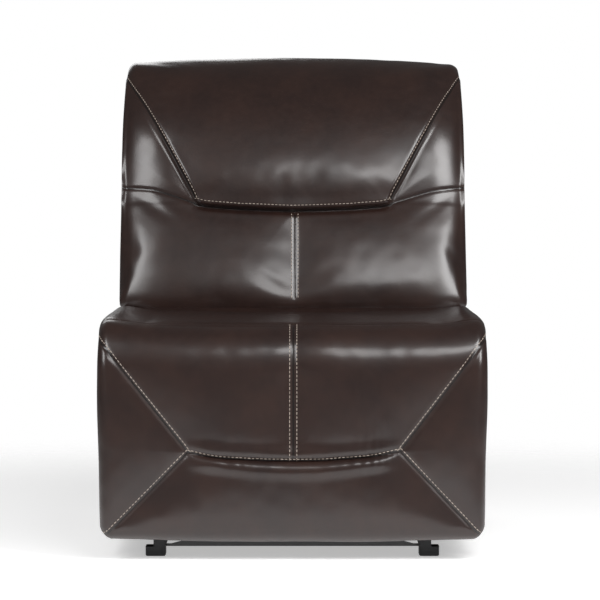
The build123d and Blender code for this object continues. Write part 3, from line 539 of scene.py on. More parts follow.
def even(line: Array, step: float) -> Array:
    """Divide a line evenly by its own length.

    Args:
        line: Dense points.
        step: Wanted distance between the samples.

    Returns:
        The samples, one row each.
    """
    length = length_along(line)
    count = max(2, int(round(length[-1] / step)) + 1)
    return read_table(np.linspace(0, length[-1], count), np.column_stack([length, line]))


def uneven(line: Array, steps: Sequence[Flat]) -> Array:
    """Divide a line by stretches, each with its own step.

    Args:
        line: Dense points.
        steps: Rows of (length where the stretch ends, step in it).

    Returns:
        The samples, one row each.
    """
    length = length_along(line)
    marks, low = [], 0.0
    for high, step in steps:
        high = min(high, length[-1])
        marks.append(np.linspace(low, high, max(2, int(round((high - low) / step)) + 1))[:-1])
        low = high
    wanted = np.concatenate([*marks, [length[-1]]])
    return read_table(wanted, np.column_stack([length, line]))


@dataclass(frozen=True)
class Fold:
    """A fold across a shell, which fades out between two distances from the middle plane."""

    path: tuple[Flat, ...]
    fade: Flat

    def beyond(self, across: Array, along: Array) -> Array:
        """Distance of each point past the fold's line."""
        return along - np.interp(across, *zip(*self.path))

    def share(self, across: Array) -> Array:
        """How much of the fold there is at each distance from the middle plane."""
        return 1 - smooth(np.abs(across), *self.fade)


@dataclass
class Profile:
    """The side view of a shell: its outside line and the lines that back it, station by station."""

    outside: Array
    backing: Array
    side_backing: Array
    half_width: Array
    edge_radius: Array

    def along(self) -> Array:
        """Length along the outside at each station."""
        return length_along(self.outside)

    def facing(self) -> Array:
        """Unit direction out of the leather at each station."""
        way = np.gradient(self.outside, axis=0)
        way /= np.linalg.norm(way, axis=1)[:, None]
        return np.column_stack([way[:, 1], -way[:, 0]])


def blown_up(obj: Object, held: Array) -> Array:
    """Let a closed cloth swell, and take it away again.

    Args:
        obj: The mesh that swells.
        held: Which of its vertices stay where they are.

    Returns:
        Where its vertices end, in metres.
    """
    group = obj.vertex_groups.new(name="held")
    group.add(np.nonzero(held.ravel())[0].tolist(), 1.0, "REPLACE")
    cloth = obj.modifiers.new("cloth", "CLOTH")
    settings = cloth.settings
    settings.vertex_group_mass = "held"
    settings.quality = 5
    settings.use_pressure = True
    settings.uniform_pressure_force = CLOTH_PRESSURE
    settings.effector_weights.gravity = 0.0
    settings.shrink_min = 0.0
    settings.tension_stiffness = settings.compression_stiffness = CLOTH_TENSION
    settings.bending_stiffness = CLOTH_BENDING
    cloth.point_cache.frame_start, cloth.point_cache.frame_end = 1, CLOTH_FRAMES
    for number in range(CLOTH_FRAMES + 1):
        bpy.context.scene.frame_set(number)
    graph = bpy.context.evaluated_depsgraph_get()
    ends = vectors_of(obj.evaluated_get(graph).data.vertices, "co")
    bpy.context.scene.frame_set(1)
    bpy.data.objects.remove(obj)
    return ends


@dataclass
class Shell:
    """A padded, closed leather body whose cross-section runs round from side to side.

    Attributes:
        name: Name of the piece.
        profile: Its side view.
        seams: Its seams, on the flat pattern.
        step: Distance between the columns of its face.
        origin: Point (y, z) that its profile is measured from.
        up: Direction (y, z) of its profile's first value.
        front: Direction (y, z) of its profile's second value.
        swell_cap: Farthest that the cloth may move the leather.
        face: The vertices that have a place on the outside, once it is built.
        columns: Distance of each column of the face from the middle plane, on the flat pattern.
    """

    name: str
    profile: Profile
    seams: Sequence[Seam]
    step: float
    origin: Flat = (0.0, 0.0)
    up: Flat = (0.0, 1.0)
    front: Flat = (1.0, 0.0)
    swell_cap: float = 7.5
    face: Array = field(default=None, repr=False)
    columns: Array = field(default=None, repr=False)

    def relief(self, across: Array, along: Array) -> Array:
        """How far the leather stands out of the profile; each shell has its own."""
        return np.zeros(across.shape)

    def slide(self, across: Array, along: Array) -> Array:
        """How far the leather hangs over along its length; each shell has its own."""
        return np.zeros(across.shape)

    def edge_at(self, along: Array) -> Array:
        """Flat distance from the middle to the end of the round edge."""
        return np.interp(along, self.profile.along(), self.columns[:, -1])

    def seam_pull(self, across: Array, along: Array, puff: float, soft: float) -> Array:
        """Height of panels that swell between their seams, and of seams drawn into the padding.

        Args:
            across: Flat positions from the middle plane.
            along: Flat positions along the leather.
            puff: Height of a wide panel's middle.
            soft: Distance from a seam over which a panel swells.

        Returns:
            The height at each point.
        """
        nearest, groove = np.full(across.shape, 1e6), np.zeros(across.shape)
        for seam in self.seams:
            gap = path_distance(across, along, seam.path)
            nearest = np.minimum(nearest, gap * Seam.reach / seam.reach)
            groove = np.maximum(groove, seam.pull * bell(gap, 0.0, GROOVE_WIDTH))
        return puff * (1 - np.exp(-nearest / soft)) - groove

    def ring(self, step: float) -> tuple[Array, ...]:
        """Divide the cross-section into columns.

        Args:
            step: Distance between the columns of the face.

        Returns:
            Shares of the face, angles of the corner, shares of a side wall and of the backing.
        """
        p = self.profile
        face = 2 * (p.half_width - p.edge_radius).max()
        flat = np.linspace(-1, 1, max(9, int(face / step) | 1))
        turns = max(4, int(p.edge_radius.max() * QUARTER / step) + 1)
        corner = np.linspace(0, QUARTER, turns + 1)[1:]
        return flat, corner, np.linspace(0, 1, 8)[1:], np.linspace(1, -1, 14)

    def ring_places(self, step: float) -> Array:
        """Where each column stands on its way round, so that two divisions can be compared.

        Args:
            step: Distance between the columns of the face.

        Returns:
            The face is 0 to 2, its right corner 2 to 3, the wall 3 to 4, the backing 5 to 6, and
            then the left wall and corner up to 9, where the face starts again.
        """
        flat, corner, wall, back = self.ring(step)
        turn = corner / QUARTER
        right = [flat + 1, 2 + turn, 3 + wall, [4.3], 5 + (1 - back) / 2]
        return np.concatenate([*right, [6.6], 8 - wall[::-1], 9 - turn[::-1]])

    def points(self, step: float) -> tuple[Array, Array]:
        """Place every vertex of the shell.

        Args:
            step: Distance between the columns of the outside face, in millimetres.

        Returns:
            Points (station, column, xyz) in millimetres, and the flat pattern (station, column, 2).
        """
        flat, corner, wall, back = self.ring(step)
        p = self.profile
        along, out = p.along()[:, None], p.facing()[:, None, :]
        r = p.edge_radius[:, None]
        half = p.half_width[:, None]
        base = p.outside[:, None, :]
        way = np.stack([-out[..., 1], out[..., 0]], axis=-1)

        def lifted(x: Array, lift: Array, slip: Array) -> Array:
            """Lift columns off the profile, and slide them along the leather by their slip."""
            yz = base + out * lift[..., None] + way * slip[..., None]
            return np.dstack([np.broadcast_to(x, lift.shape), yz])

        across = flat[None, :] * (half - r)
        spots = np.broadcast_arrays(across, along)
        parts = [lifted(across, self.relief(*spots), self.slide(*spots))]
        sides = []
        bulge = WALL_SWELL * np.sin(math.pi * wall)[None, :]
        wall = wall[None, :, None]
        fade, turn = np.cos(corner)[None, :], np.sin(corner)[None, :]
        for sign in (1, -1):
            spots = np.broadcast_arrays(sign * (half - r + r * corner[None, :]), along)
            relief = self.relief(*spots)
            # The lift turns into the outward direction as the surface turns round the corner.
            lift = relief * (0.25 + 0.75 * fade) - r * (1 - fade)
            proud = np.maximum(relief, 0) * turn * 0.3
            x = sign * (half - r + r * turn + proud)
            turned = lifted(x, lift, self.slide(*spots) * fade)
            low = np.column_stack([sign * p.half_width, p.side_backing])[:, None, :]
            down = turned[:, -1:, :] * (1 - wall) + low * wall
            down[:, :, 0] += sign * bulge
            sides.append((turned, down))
        size = (*along.shape[:1], back.size, 2)
        behind = np.broadcast_to(p.backing[:, None, :], size)
        backing = np.dstack([back[None, :] * (half - BACKING_INSET), behind])
        strips = [
            np.column_stack([sign * (p.half_width - STRIP_INSET), p.side_backing])[:, None, :]
            for sign in (1, -1)
        ]
        (right, right_wall), (left, left_wall) = sides
        parts += [right, right_wall, strips[0], backing, strips[1]]
        parts += [left_wall[:, ::-1], left[:, ::-1]]
        grid = np.concatenate(parts, axis=1)
        steps = np.linalg.norm(np.roll(grid, -1, axis=1) - grid, axis=2)
        count, cut = across.shape[1], self.cut(step)
        lay = np.zeros((*grid.shape[:2], 2))
        lay[:, :, 1] = along
        lay[:, :count, 0] = across
        lay[:, count : cut + 1, 0] = across[:, -1:] + np.cumsum(steps[:, count - 1 : cut], axis=1)
        lay[:, cut + 1 :, 0] = across[:, :1] - np.cumsum(steps[:, :cut:-1], axis=1)[:, ::-1]
        return grid, lay

    def cut(self, step: float) -> int:
        """Column in the middle of the backing, where the flat pattern is cut open."""
        flat, corner, wall, back = self.ring(step)
        return flat.size + corner.size + wall.size + 1 + back.size // 2

    def place(self, grid: Array) -> Array:
        """Turn the shell's own directions into the row frame.

        Args:
            grid: Points as (x, along the shell's up, out of its front), in millimetres.

        Returns:
            The points in metres.
        """
        y = self.origin[0] + grid[..., 1] * self.up[0] + grid[..., 2] * self.front[0]
        z = self.origin[1] + grid[..., 1] * self.up[1] + grid[..., 2] * self.front[1]
        return np.stack([grid[..., 0], y, z], axis=-1) * MM

    def build(self, material: Material) -> Object:
        """Make the shell's mesh with its flat pattern as a UV map.

        Args:
            material: The leather it is covered in.

        Returns:
            The finished mesh object.
        """
        grid, lay = self.points(self.step)
        grid = grid + self.settled(grid)
        placed = self.place(grid)
        rows, cols = grid.shape[:2]
        flat, corner = self.ring(self.step)[:2]
        face = np.arange(-corner.size, flat.size + corner.size)
        self.face, self.columns = placed[:, face], lay[:, face, 0]
        faces = closed_faces(rows, cols)
        obj = mesh_object(self.name, placed.reshape(-1, 3), faces, material)
        uv = obj.data.uv_layers.new(name="pattern")
        loops = np.empty(len(obj.data.loops), int)
        obj.data.loops.foreach_get("vertex_index", loops)
        coords = lay.reshape(-1, 2)[loops] * MM
        # The column of faces that joins the pattern's two ends gets its own value on its far edge.
        cut = self.cut(self.step)
        seam_face = np.repeat(np.arange((rows - 1) * cols) % cols == cut, 4)
        far = np.zeros(len(loops), bool)
        far[: seam_face.size] = seam_face & (loops[: seam_face.size] % cols == cut + 1)
        end_value = lay[:, cut, 0] + np.linalg.norm(grid[:, cut + 1] - grid[:, cut], axis=1)
        coords[far, 0] = end_value[loops[far] // cols] * MM
        uv.data.foreach_set("uv", coords.ravel())
        return obj

    def settled(self, grid: Array) -> Array:
        """Blow the cover up as cloth, held at its seams and its back, and read how far it moves.

        Args:
            grid: The fine grid that the movement is wanted for, in millimetres.

        Returns:
            The movement of each of its points, in millimetres.
        """
        coarse, lay = self.points(CLOTH_STEP)
        stations = np.arange(grid.shape[0])
        rows = np.unique(np.linspace(0, stations[-1], stations.size // 3).astype(int))
        coarse, lay = coarse[rows], lay[rows]
        count, cols = coarse.shape[:2]
        places = self.ring_places(CLOTH_STEP)
        backed = (places > BACKED[0]) & (places < BACKED[1])
        held = backed[None, :] | np.zeros((count, 1), bool)
        held[[0, 1, -2, -1]] = True
        for seam in self.seams:
            held |= path_distance(lay[:, :, 0], lay[:, :, 1], seam.path) < CLOTH_STEP * 0.55
        obj = mesh_object(
            f"{self.name}_cloth",
            coarse.reshape(-1, 3) * MM,
            closed_faces(count, cols),
            bpy.data.materials.new("cloth_stand_in"),
        )
        move = blown_up(obj, held).reshape(count, cols, 3) / MM - coarse
        size = np.linalg.norm(move, axis=2, keepdims=True)
        LOG.info("%s cloth moved %.1f mm, %d points held", self.name, size.max(), held.sum())
        move *= self.swell_cap * np.tanh(size / self.swell_cap) / np.maximum(size, 1e-6)
        fine = self.ring_places(self.step)
        by_row = np.apply_along_axis(lambda m: np.interp(fine, places, m, period=9), 1, move)
        spread = np.apply_along_axis(lambda m: np.interp(stations, rows, m), 0, by_row)
        for _ in range(CLOTH_SMOOTHING):
            spread[1:-1] = (spread[:-2] + 2 * spread[1:-1] + spread[2:]) / 4
            spread = (np.roll(spread, 1, axis=1) + 2 * spread + np.roll(spread, -1, axis=1)) / 4
        return spread

    def at(self, across: Array, along: Array) -> tuple[Array, Array]:
        """Points on the finished outside, and the directions out of it.

        Args:
            across: Flat positions from the middle plane, in millimetres.
            along: Flat positions along the leather, in millimetres.

        Returns:
            Points and unit directions, in metres in the row frame.
        """
        length = self.profile.along()
        row = np.interp(along, length, np.arange(length.size))
        count = self.columns.shape[1]
        widths = self.columns[np.clip(row.round().astype(int), 0, length.size - 1)]
        col = np.array([np.interp(a, w, np.arange(count)) for a, w in zip(across, widths)])

        def sample(r: Array, c: Array) -> Array:
            """Read the grid between its points."""
            r = np.clip(r, 0, self.face.shape[0] - 1.001)
            c = np.clip(c, 0, count - 1.001)
            i, j = r.astype(int), c.astype(int)
            u, v = (r - i)[:, None], (c - j)[:, None]
            g = self.face
            here = g[i, j] * (1 - u) + g[i + 1, j] * u
            return here * (1 - v) + (g[i, j + 1] * (1 - u) + g[i + 1, j + 1] * u) * v

        spot = sample(row, col)
        ahead, behind = sample(row + 1, col), sample(row - 1, col)
        right, left = sample(row, col + 1), sample(row, col - 1)
        out = np.cross(ahead - behind, right - left)
        out /= np.linalg.norm(out, axis=1)[:, None]
        return spot, out


# ---------------------------------------------------------------- the seat's cover


def arc(centre: Flat, radius: float, start: float, end: float, count: int = 24) -> list[Flat]:
    """Points on a round corner, with angles in degrees from +y towards +z."""
    turns = np.radians(np.linspace(start, end, count))
    return [(centre[0] + radius * math.cos(t), centre[1] + radius * math.sin(t)) for t in turns]


# The cover's side view: flat top, round roll, upright front and round hem, in millimetres.
SEAT_REAR, SEAT_FRONT, SEAT_TOP = 148.0, -480.0, 470.0
ROLL = 94.0
HEM_TOP, HEM_RADIUS, HEM_END = 68.0, 24.0, -424.0
# Lengths along the cover where the roll, the upright front and the hem begin.
ROLL_START = SEAT_REAR - SEAT_FRONT - ROLL
FRONT_START = ROLL_START + ROLL * QUARTER
HEM_START = FRONT_START + SEAT_TOP - ROLL - HEM_TOP
SEAT_HALF = 381.5
# Rows of (length along the cover, y, z) for the line behind the padding and the side walls' end.
SEAT_BACKING = (
    (0, 148, 374), (496, -352, 374), (522, -379, 374.5), (606, -403, 389),
    (660, -421, 407.5), (682, -422, 392), (985, -422, 62), (1060, -422, 48),
)
SEAT_SIDE_BACKING = (
    (0, 148, 374), (496, -352, 374), (522, -379, 374.5), (606, -390, 381),
    (660, -403.5, 392), (682, -403.5, 380), (985, -403.5, 62), (1060, -403.5, 48),
)
# Rows of (length along the cover, radius of its round side edge).
SEAT_EDGE = ((0, 18), (520, 18), (640, 20), (1000, 25), (1040, 12))


def front_length(height: float) -> float:
    """Length along the seat's cover at a height on its roll, its front or its hem.

    Args:
        height: Height above the floor in millimetres.

    Returns:
        The length in millimetres.
    """
    if height > SEAT_TOP - ROLL:
        return ROLL_START + ROLL * math.acos(min(1.0, (height - SEAT_TOP + ROLL) / ROLL))
    if height > HEM_TOP:
        return FRONT_START + SEAT_TOP - ROLL - height
    return HEM_START + HEM_RADIUS * math.asin((HEM_TOP - height) / HEM_RADIUS)


def on_front(*points: Flat) -> tuple[Flat, ...]:
    """Flat positions of points that the front view gives as (across, height)."""
    return tuple((x, front_length(z)) for x, z in points)


CREASE = Fold(
    on_front((-204, 215), (-130, 207), (-50, 203), (3, 202), (60, 203), (140, 209), (211, 217)),
    (150, 222),
)


@dataclass
class SeatCover(Shell):
    """One sheet of leather over the seat, round its front roll and down to its hem."""

    def relief(self, across: Array, along: Array) -> Array:
        """Dished top, swelling panels, and the deep fold across the middle of the front.

        Args:
            across: Flat positions from the middle plane.
            along: Flat positions along the leather.

        Returns:
            The height out of the profile at each point.
        """
        wide = np.abs(across)
        top = 1 - smooth(along, 470, 640)
        free = smooth(along, 40, 110)
        dish = 2.6 * smooth(wide, 40, 290) + 18.0 * smooth(wide, 280, 366) - 17.8
        rise = dish * top * free + self.seam_pull(across, along, 4.5, 34.0) * free
        # The fold: a lip over it, its line, and the bulge that hangs under it.
        below, inside = CREASE.beyond(across, along), CREASE.share(across)
        rise += inside * (4.0 * bell(below, -11, 11) - 7.0 * bell(below, 2, 6))
        rise += inside * 8.0 * bell(below, 20, 16) * (0.85 + 0.15 * across / 200)
        # The long front panel hangs in a slack bow, so its hem stands a little lower in the middle.
        rise += 4.0 * smooth(along, 975, 1026) * (1 - smooth(wide, 120, 330))
        waves = 0.8 * ripple(across, along * 0.7, 95, 3) + 0.12 * ripple(across, along, 22, 8)
        rise += waves * free
        # Small puckers stand at the two ends of the fold, where the four panels meet.
        near = np.exp(-np.abs(below) / 26) * smooth(wide, 60, 170) * inside
        pitch = 23 + 7 * np.sin(across * 0.017)
        return rise + near * 1.2 * np.sin(across * math.tau / pitch + 0.02 * below)

    def slide(self, across: Array, along: Array) -> Array:
        """The panel above the fold hangs over it.

        Args:
            across: Flat positions from the middle plane.
            along: Flat positions along the leather.

        Returns:
            The slip along the leather at each point.
        """
        return CREASE.share(across) * 6.0 * bell(CREASE.beyond(across, along), -6, 9)


def seat_profile() -> Profile:
    """Side view of the seat's cover, from its rear edge to its hem.

    Returns:
        The profile in (y, z).
    """
    line = [
        (SEAT_REAR, SEAT_TOP),
        *arc((SEAT_FRONT + ROLL, SEAT_TOP - ROLL), ROLL, 90, 180, 60),
        *arc((SEAT_FRONT + HEM_RADIUS, HEM_TOP), HEM_RADIUS, 180, 270, 16),
        (HEM_END, HEM_TOP - HEM_RADIUS),
    ]
    outside = uneven(np.array(line), ((430, 7.0), (1028, 3.6), (1070, 6.0)))
    along = length_along(outside)
    height = outside[:, 1]
    # The front is a little narrower than the top, and the hem's lower corners are round.
    half = SEAT_HALF - 4.0 * smooth(-height, -330, -180)
    low = np.clip((60 - height) / 16, 0, 1)
    half = half - 8 * (1 - np.sqrt(1 - low**2))
    edge = read_table(along, SEAT_EDGE)[:, 0]
    backing, strip = (read_table(along, rows) for rows in (SEAT_BACKING, SEAT_SIDE_BACKING))
    return Profile(outside, backing, strip, half, edge)


def seat_seams() -> tuple[Seam, ...]:
    """Seams of the seat's cover, on its flat pattern."""
    cross = 546.0
    middle = ((2.0, cross), (2.0, 600.0), (2.0, front_length(203.0)))
    return (
        Seam(middle, pull=1.6, reach=16.0, rows=(-7.0, 7.0)),
        Seam(((-400.0, cross), (400.0, cross)), pull=0.9, reach=14.0, rows=(), line_width=1.6),
        Seam(on_front((-400, 459), (-379, 433), (-340, 385), (-204, 215)), rows=(5.0,)),
        Seam(on_front((400, 461), (379, 435), (342, 388), (211, 217)), rows=(-5.0,)),
        Seam(CREASE.path, pull=2.0, rows=(5.0,)),
        Seam(on_front((-204, 215), (-367, 51)), rows=(-5.0,)),
        Seam(on_front((211, 217), (366, 53)), rows=(5.0,)),
    )


# ---------------------------------------------------------------- the back's cover

BACK_TILT = math.radians(14)
HINGE = (204.07, 285.0)
BACK_UP = (math.sin(BACK_TILT), math.cos(BACK_TILT))
BACK_OUT = (-math.cos(BACK_TILT), math.sin(BACK_TILT))

# Side view of the padded back as (up the back, out towards the sitter), from its top edge down.
BACK_LINE = (
    (744, -52), (755, -42), (759, -22), (756, 0), (739, 34), (700, 74), (649, 106),
    (560, 140), (452, 158), (392, 160), (330, 161), (248, 161), (196, 161), (170, 159),
    (154, 152), (146.5, 139), (151, 122), (163, 92), (170, 60), (172, 45),
)
HEAD_CORNER = (700, 74)
HEAD_FOLD = Fold(((-213, 386), (-120, 378), (0, 373), (120, 377), (213, 385)), (185, 228))
# Heights of the line behind the padding: at its top, along the top rail, and at its foot.
BACKING_TOP, BACKING_RAIL, BACKING_FOOT = 742, 704, 173


@dataclass
class BackCover(Shell):
    """Head panel, lumbar panel and two wing panels, sewn into one cover over the back's padding."""

    def height_at(self, along: Array) -> Array:
        """Height up the back at a length along the cover, down its front."""
        return np.interp(along, self.profile.along(), self.profile.outside[:, 0])

    def relief(self, across: Array, along: Array) -> Array:
        """Head panel standing over the lumbar fold, and wings that lie back from both.

        Args:
            across: Flat positions from the middle plane.
            along: Flat positions along the leather.

        Returns:
            The height out of the profile at each point.
        """
        wide = np.abs(across)
        v = self.height_at(along)
        front = smooth(along, 95, 190)
        foot = 1 - smooth(along, 730, 775)
        # Distance outside the head panel's slanted sides, and above the fold under it.
        dx, dv = 158.0, 298.0
        beside = ((wide - 213) * dv - (v - 400) * dx) / math.hypot(dx, dv)
        over, inside = HEAD_FOLD.beyond(across, v), HEAD_FOLD.share(across)
        # The lumbar pad is fullest near its foot and falls back to the fold; the wings go on.
        lumbar = 6.0 - 22.0 * smooth(v, 185, 415)
        wing = -15.8 + 13.0 * smooth(v, 395, 620)
        # The head panel curls in towards its lower edge.
        curl = 25.0 * np.log1p(np.exp(np.clip(62 - over, -400, 90) / 25))
        head = 4.0 * smooth(v, 740, 520) - 0.0026 * np.minimum(curl, 80) ** 2
        upper = head + (wing - head) * smooth(beside, -7, 9)
        rise = lumbar + (upper - lumbar) * smooth(over, -2, 9)
        rise *= smooth(along, 60, 150) * foot
        rise += self.seam_pull(across, along, 4.0, 36.0) * foot * (0.35 + 0.65 * front)
        rise -= inside * 7.0 * bell(over, -4, 7)
        # Both sides fall away in a wide crown, and the top edge in a flat one.
        drop = 10.5 + 6.5 * smooth(over, -60, 30)
        side = drop * np.clip((wide - 235) / 118, 0, 1.12) ** 2.5
        rise += (2.0 - 4.0 * (wide / 374) ** 2 - side) * front * foot
        crown = 3.0 - np.where(across > 0, 13.0 * (across / 330) ** 2, 11.0 * (across / 343) ** 2)
        rise += crown * (1 - smooth(along, 60, 170))
        waves = 0.9 * ripple(across, along * 0.8, 110, 5) + 0.12 * ripple(across, along, 24, 12)
        return rise + waves * foot

    def slide(self, across: Array, along: Array) -> Array:
        """The head panel's lower edge hangs over the fold.

        Args:
            across: Flat positions from the middle plane.
            along: Flat positions along the leather.

        Returns:
            The slip along the leather at each point.
        """
        over = HEAD_FOLD.beyond(across, self.height_at(along))
        return HEAD_FOLD.share(across) * 8.0 * bell(over, 10, 10)


def back_profile() -> Profile:
    """Side view of the back's cover, from its top edge at the rear down to the lumbar's foot.

    Returns:
        The profile in (up the back, out).
    """
    outside = uneven(curve_through(BACK_LINE, 1.0), ((90, 4.5), (720, 3.6), (2000, 4.5)))
    along, v = length_along(outside), outside[:, 0]
    turn = along[int(np.argmin(np.linalg.norm(outside - HEAD_CORNER, axis=1)))]
    rear = turn * 0.33
    falling = BACKING_TOP - (BACKING_TOP - BACKING_RAIL) * along / rear
    back_v = np.where(along < rear, falling, np.where(along < turn, BACKING_RAIL, v))
    back_n = np.interp(along, [0, rear, turn], [-50, -50, 27])
    # Under the lumbar's foot the backing creeps down, so that no two stations share a point.
    low = int(np.argmax((along > turn) & (v < 205)))
    back_v[low:] = np.linspace(205, BACKING_FOOT, back_v.size - low)
    backing = np.column_stack([np.clip(back_v, BACKING_FOOT, BACKING_TOP), back_n])
    half = np.interp(v, [168, 260, 420, 600, 700, 760], [376, 375, 374.5, 374, 372, 368])
    edge = np.interp(v, [168, 200, 240, 600, 700, 740], [18, 24, 27, 27, 24, 20])
    return Profile(outside, backing, backing.copy(), half, edge)


def back_seams(profile: Profile) -> tuple[Seam, ...]:
    """Seams of the back's cover, on its flat pattern.

    Args:
        profile: Side view that turns a height up the back to a length along the cover.

    Returns:
        The seams.
    """
    v = profile.outside[:, 0]
    first = int(np.argmax(v))
    heights, lengths = v[first:][::-1], profile.along()[first:][::-1]

    def down(*points: Flat) -> tuple[Flat, ...]:
        """Turn (across, height) points to the flat pattern."""
        return tuple((x, float(np.interp(h, heights, lengths))) for x, h in points)

    left = down((-213, 400), (-290, 548), (-365, 691), (-385, 722))
    right = down((213, 398), (292, 550), (368, 700), (388, 730))
    return (
        Seam(down(*HEAD_FOLD.path), pull=2.0, rows=(13.0,)),
        Seam(left, reach=26.0, rows=(-4.0,)),
        Seam(right, reach=26.0, rows=(4.0,)),
        Seam(down((-400, 432), (-365, 428), (-305, 419), (-213, 388)), rows=()),
        Seam(down((400, 432), (365, 428), (300, 415), (213, 387)), rows=()),
        Seam(down((4, 362), (4, 250), (4, 176)), pull=1.6, reach=16.0, rows=(-7.0, 7.0)),
    )


# ---------------------------------------------------------------- stitches


@dataclass(frozen=True)
class StitchRow:
    """Topstitching beside a seam: thread sunk at both ends of each stitch."""

    pitch_mm: float = 8.0
    length_mm: float = 6.6
    thick_mm: float = 1.8
    # The row is drawn in steps, ends short of the round edge's end, and lies on the leather.
    step_mm: float = 5.0
    margin_mm: float = 7.0
    proud_mm: float = 0.2

    def tree(self, material: Material) -> Tree:
        """Build the node tree that lays stitches along a row.

        Args:
            material: The thread's finish.

        Returns:
            The tree, with its sizes as named inputs.
        """
        group = bpy.data.node_groups.new("topstitching", "GeometryNodeTree")
        face = group.interface
        face.new_socket("Row", in_out="INPUT", socket_type="NodeSocketGeometry")
        sizes = {"Pitch": self.pitch_mm, "Length": self.length_mm, "Thickness": self.thick_mm}
        for label, value in sizes.items():
            socket = face.new_socket(label, in_out="INPUT", socket_type="NodeSocketFloat")
            socket.default_value = value * MM
        face.new_socket("Stitches", in_out="OUTPUT", socket_type="NodeSocketGeometry")
        given = group.nodes.new("NodeGroupInput").outputs
        curve = add_node(group, "GeometryNodeMeshToCurve", {"Mesh": given["Row"]})
        spacing = {"Curve": curve, "Length": given["Pitch"]}
        points = add_node(group, "GeometryNodeCurveToPoints", spacing, "Points", mode="LENGTH")
        tangent = points.node.outputs["Tangent"]
        reading, kind = {"Name": "facing"}, "FLOAT_VECTOR"
        facing = add_node(
            group, "GeometryNodeInputNamedAttribute", reading, "Attribute", data_type=kind
        )
        align = "FunctionNodeAlignRotationToVector"
        stand = add_node(group, align, {"Vector": facing}, axis="Z")
        towards = {"Rotation": stand, "Vector": tangent}
        turned = add_node(group, align, towards, axis="X", pivot_axis="Z")
        ball = {"Segments": 6, "Rings": 4, "Radius": 0.5}
        bead = add_node(group, "GeometryNodeMeshUVSphere", ball, "Mesh")
        spans = {0: given["Length"], 1: given["Thickness"], 2: given["Thickness"]}
        shape = add_node(group, "ShaderNodeCombineXYZ", spans)
        chance = {2: 0.9, 3: 1.1, "Seed": 7}
        wobble = add_node(group, "FunctionNodeRandomValue", chance, 1, data_type="FLOAT")
        stretch = {0: shape, "Scale": wobble}
        scale = add_node(group, "ShaderNodeVectorMath", stretch, operation="SCALE")
        laying = {"Points": points, "Instance": bead, "Rotation": turned, "Scale": scale}
        laid = add_node(group, "GeometryNodeInstanceOnPoints", laying)
        real = add_node(group, "GeometryNodeRealizeInstances", {"Geometry": laid})
        soft = add_node(group, "GeometryNodeSetShadeSmooth", {"Geometry": real})
        dress = {"Geometry": soft, "Material": material}
        dressed = add_node(group, "GeometryNodeSetMaterial", dress)
        add_node(group, "NodeGroupOutput", {"Stitches": dressed})
        return group

    def sew(self, shell: Shell, name: str, material: Material) -> Object:
        """Stitch beside every seam of a shell.

        Args:
            shell: The finished shell, which gives places on its leather.
            name: Name of the new piece.
            material: The thread's finish.

        Returns:
            One mesh that holds every stitch.
        """
        spots, outs, edges, first = [], [], [], 0
        for seam in shell.seams:
            line = even(np.array(seam.path), self.step_mm)
            way = np.gradient(line, axis=0)
            way /= np.linalg.norm(way, axis=1)[:, None]
            for side in seam.rows:
                row = line + side * np.column_stack([way[:, 1], -way[:, 0]])
                row = row[np.abs(row[:, 0]) < shell.edge_at(row[:, 1]) - self.margin_mm]
                place, out = shell.at(row[:, 0], row[:, 1])
                edges += [(first + i, first + i + 1) for i in range(len(row) - 1)]
                first += len(row)
                spots.append(place + out * self.proud_mm * MM)
                outs.append(out)
        mesh = bpy.data.meshes.new(name)
        mesh.from_pydata(np.vstack(spots).tolist(), edges, [])
        facing = mesh.attributes.new("facing", "FLOAT_VECTOR", "POINT")
        facing.data.foreach_set("vector", np.vstack(outs).ravel())
        obj = add_object(name, mesh)
        modifier = obj.modifiers.new("stitches", "NODES")
        modifier.node_group = self.tree(material)
        for item in modifier.node_group.interface.items_tree:
            if item.in_out == "INPUT" and item.socket_type == "NodeSocketFloat":
                modifier[item.identifier] = item.default_value
        to_plain_mesh(obj)
        return obj


# ---------------------------------------------------------------- boards and carried-over pieces


class Slot(Enum):
    """Material slots of the record."""

    LEATHER_FOAM = "leather_over_foam"
    LEATHER_BOARD = "leather_over_board"


def cover_board(frame: dict, node: str, name: str, body: str, material: Material) -> None:
    """Wrap a flat board in thinly padded leather: its own shape with soft edges and a slight swell.

    Args:
        frame: The loaded frame.
        node: The board's CAD node.
        name: Name of the new piece.
        body: The body it rides on.
        material: The leather.
    """
    obj = add_object(name, frame["nodes"][node].data.copy())
    weld = obj.modifiers.new("weld", "WELD")
    weld.merge_threshold = 0.05 * MM
    to_plain_mesh(obj)
    remesh = obj.modifiers.new("remesh", "REMESH")
    remesh.mode, remesh.voxel_size, remesh.use_smooth_shade = "VOXEL", 5 * MM, True
    soften = obj.modifiers.new("soften", "SMOOTH")
    soften.factor, soften.iterations = 0.5, 4
    to_plain_mesh(obj)
    mesh = obj.data
    mesh.name = name
    spots, normals = vectors_of(mesh.vertices, "co"), vectors_of(mesh.vertices, "normal")
    x, y, z = spots.T / MM
    swell = 0.2 + 0.4 * ripple(y + x, z, 70, 21)
    mesh.vertices.foreach_set("co", (spots + normals * swell[:, None] * MM).ravel())
    mesh.materials.clear()
    mesh.materials.append(material)
    mesh.polygons.foreach_set("use_smooth", [True] * len(mesh.polygons))
    mesh.update()
    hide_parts(node)
    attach(obj, body)
    LOG.info("%s: %d faces", name, len(mesh.polygons))


def dress_node(frame: dict, node: str, material: Material) -> None:
    """Give a carried-over CAD piece a better finish in all its material slots.

    Args:
        frame: The loaded frame.
        node: The piece's node.
        material: Its finish.
    """
    obj = frame["nodes"][node]
    if not obj.material_slots:
        obj.data.materials.append(material)
    for place in obj.material_slots:
        place.material = material


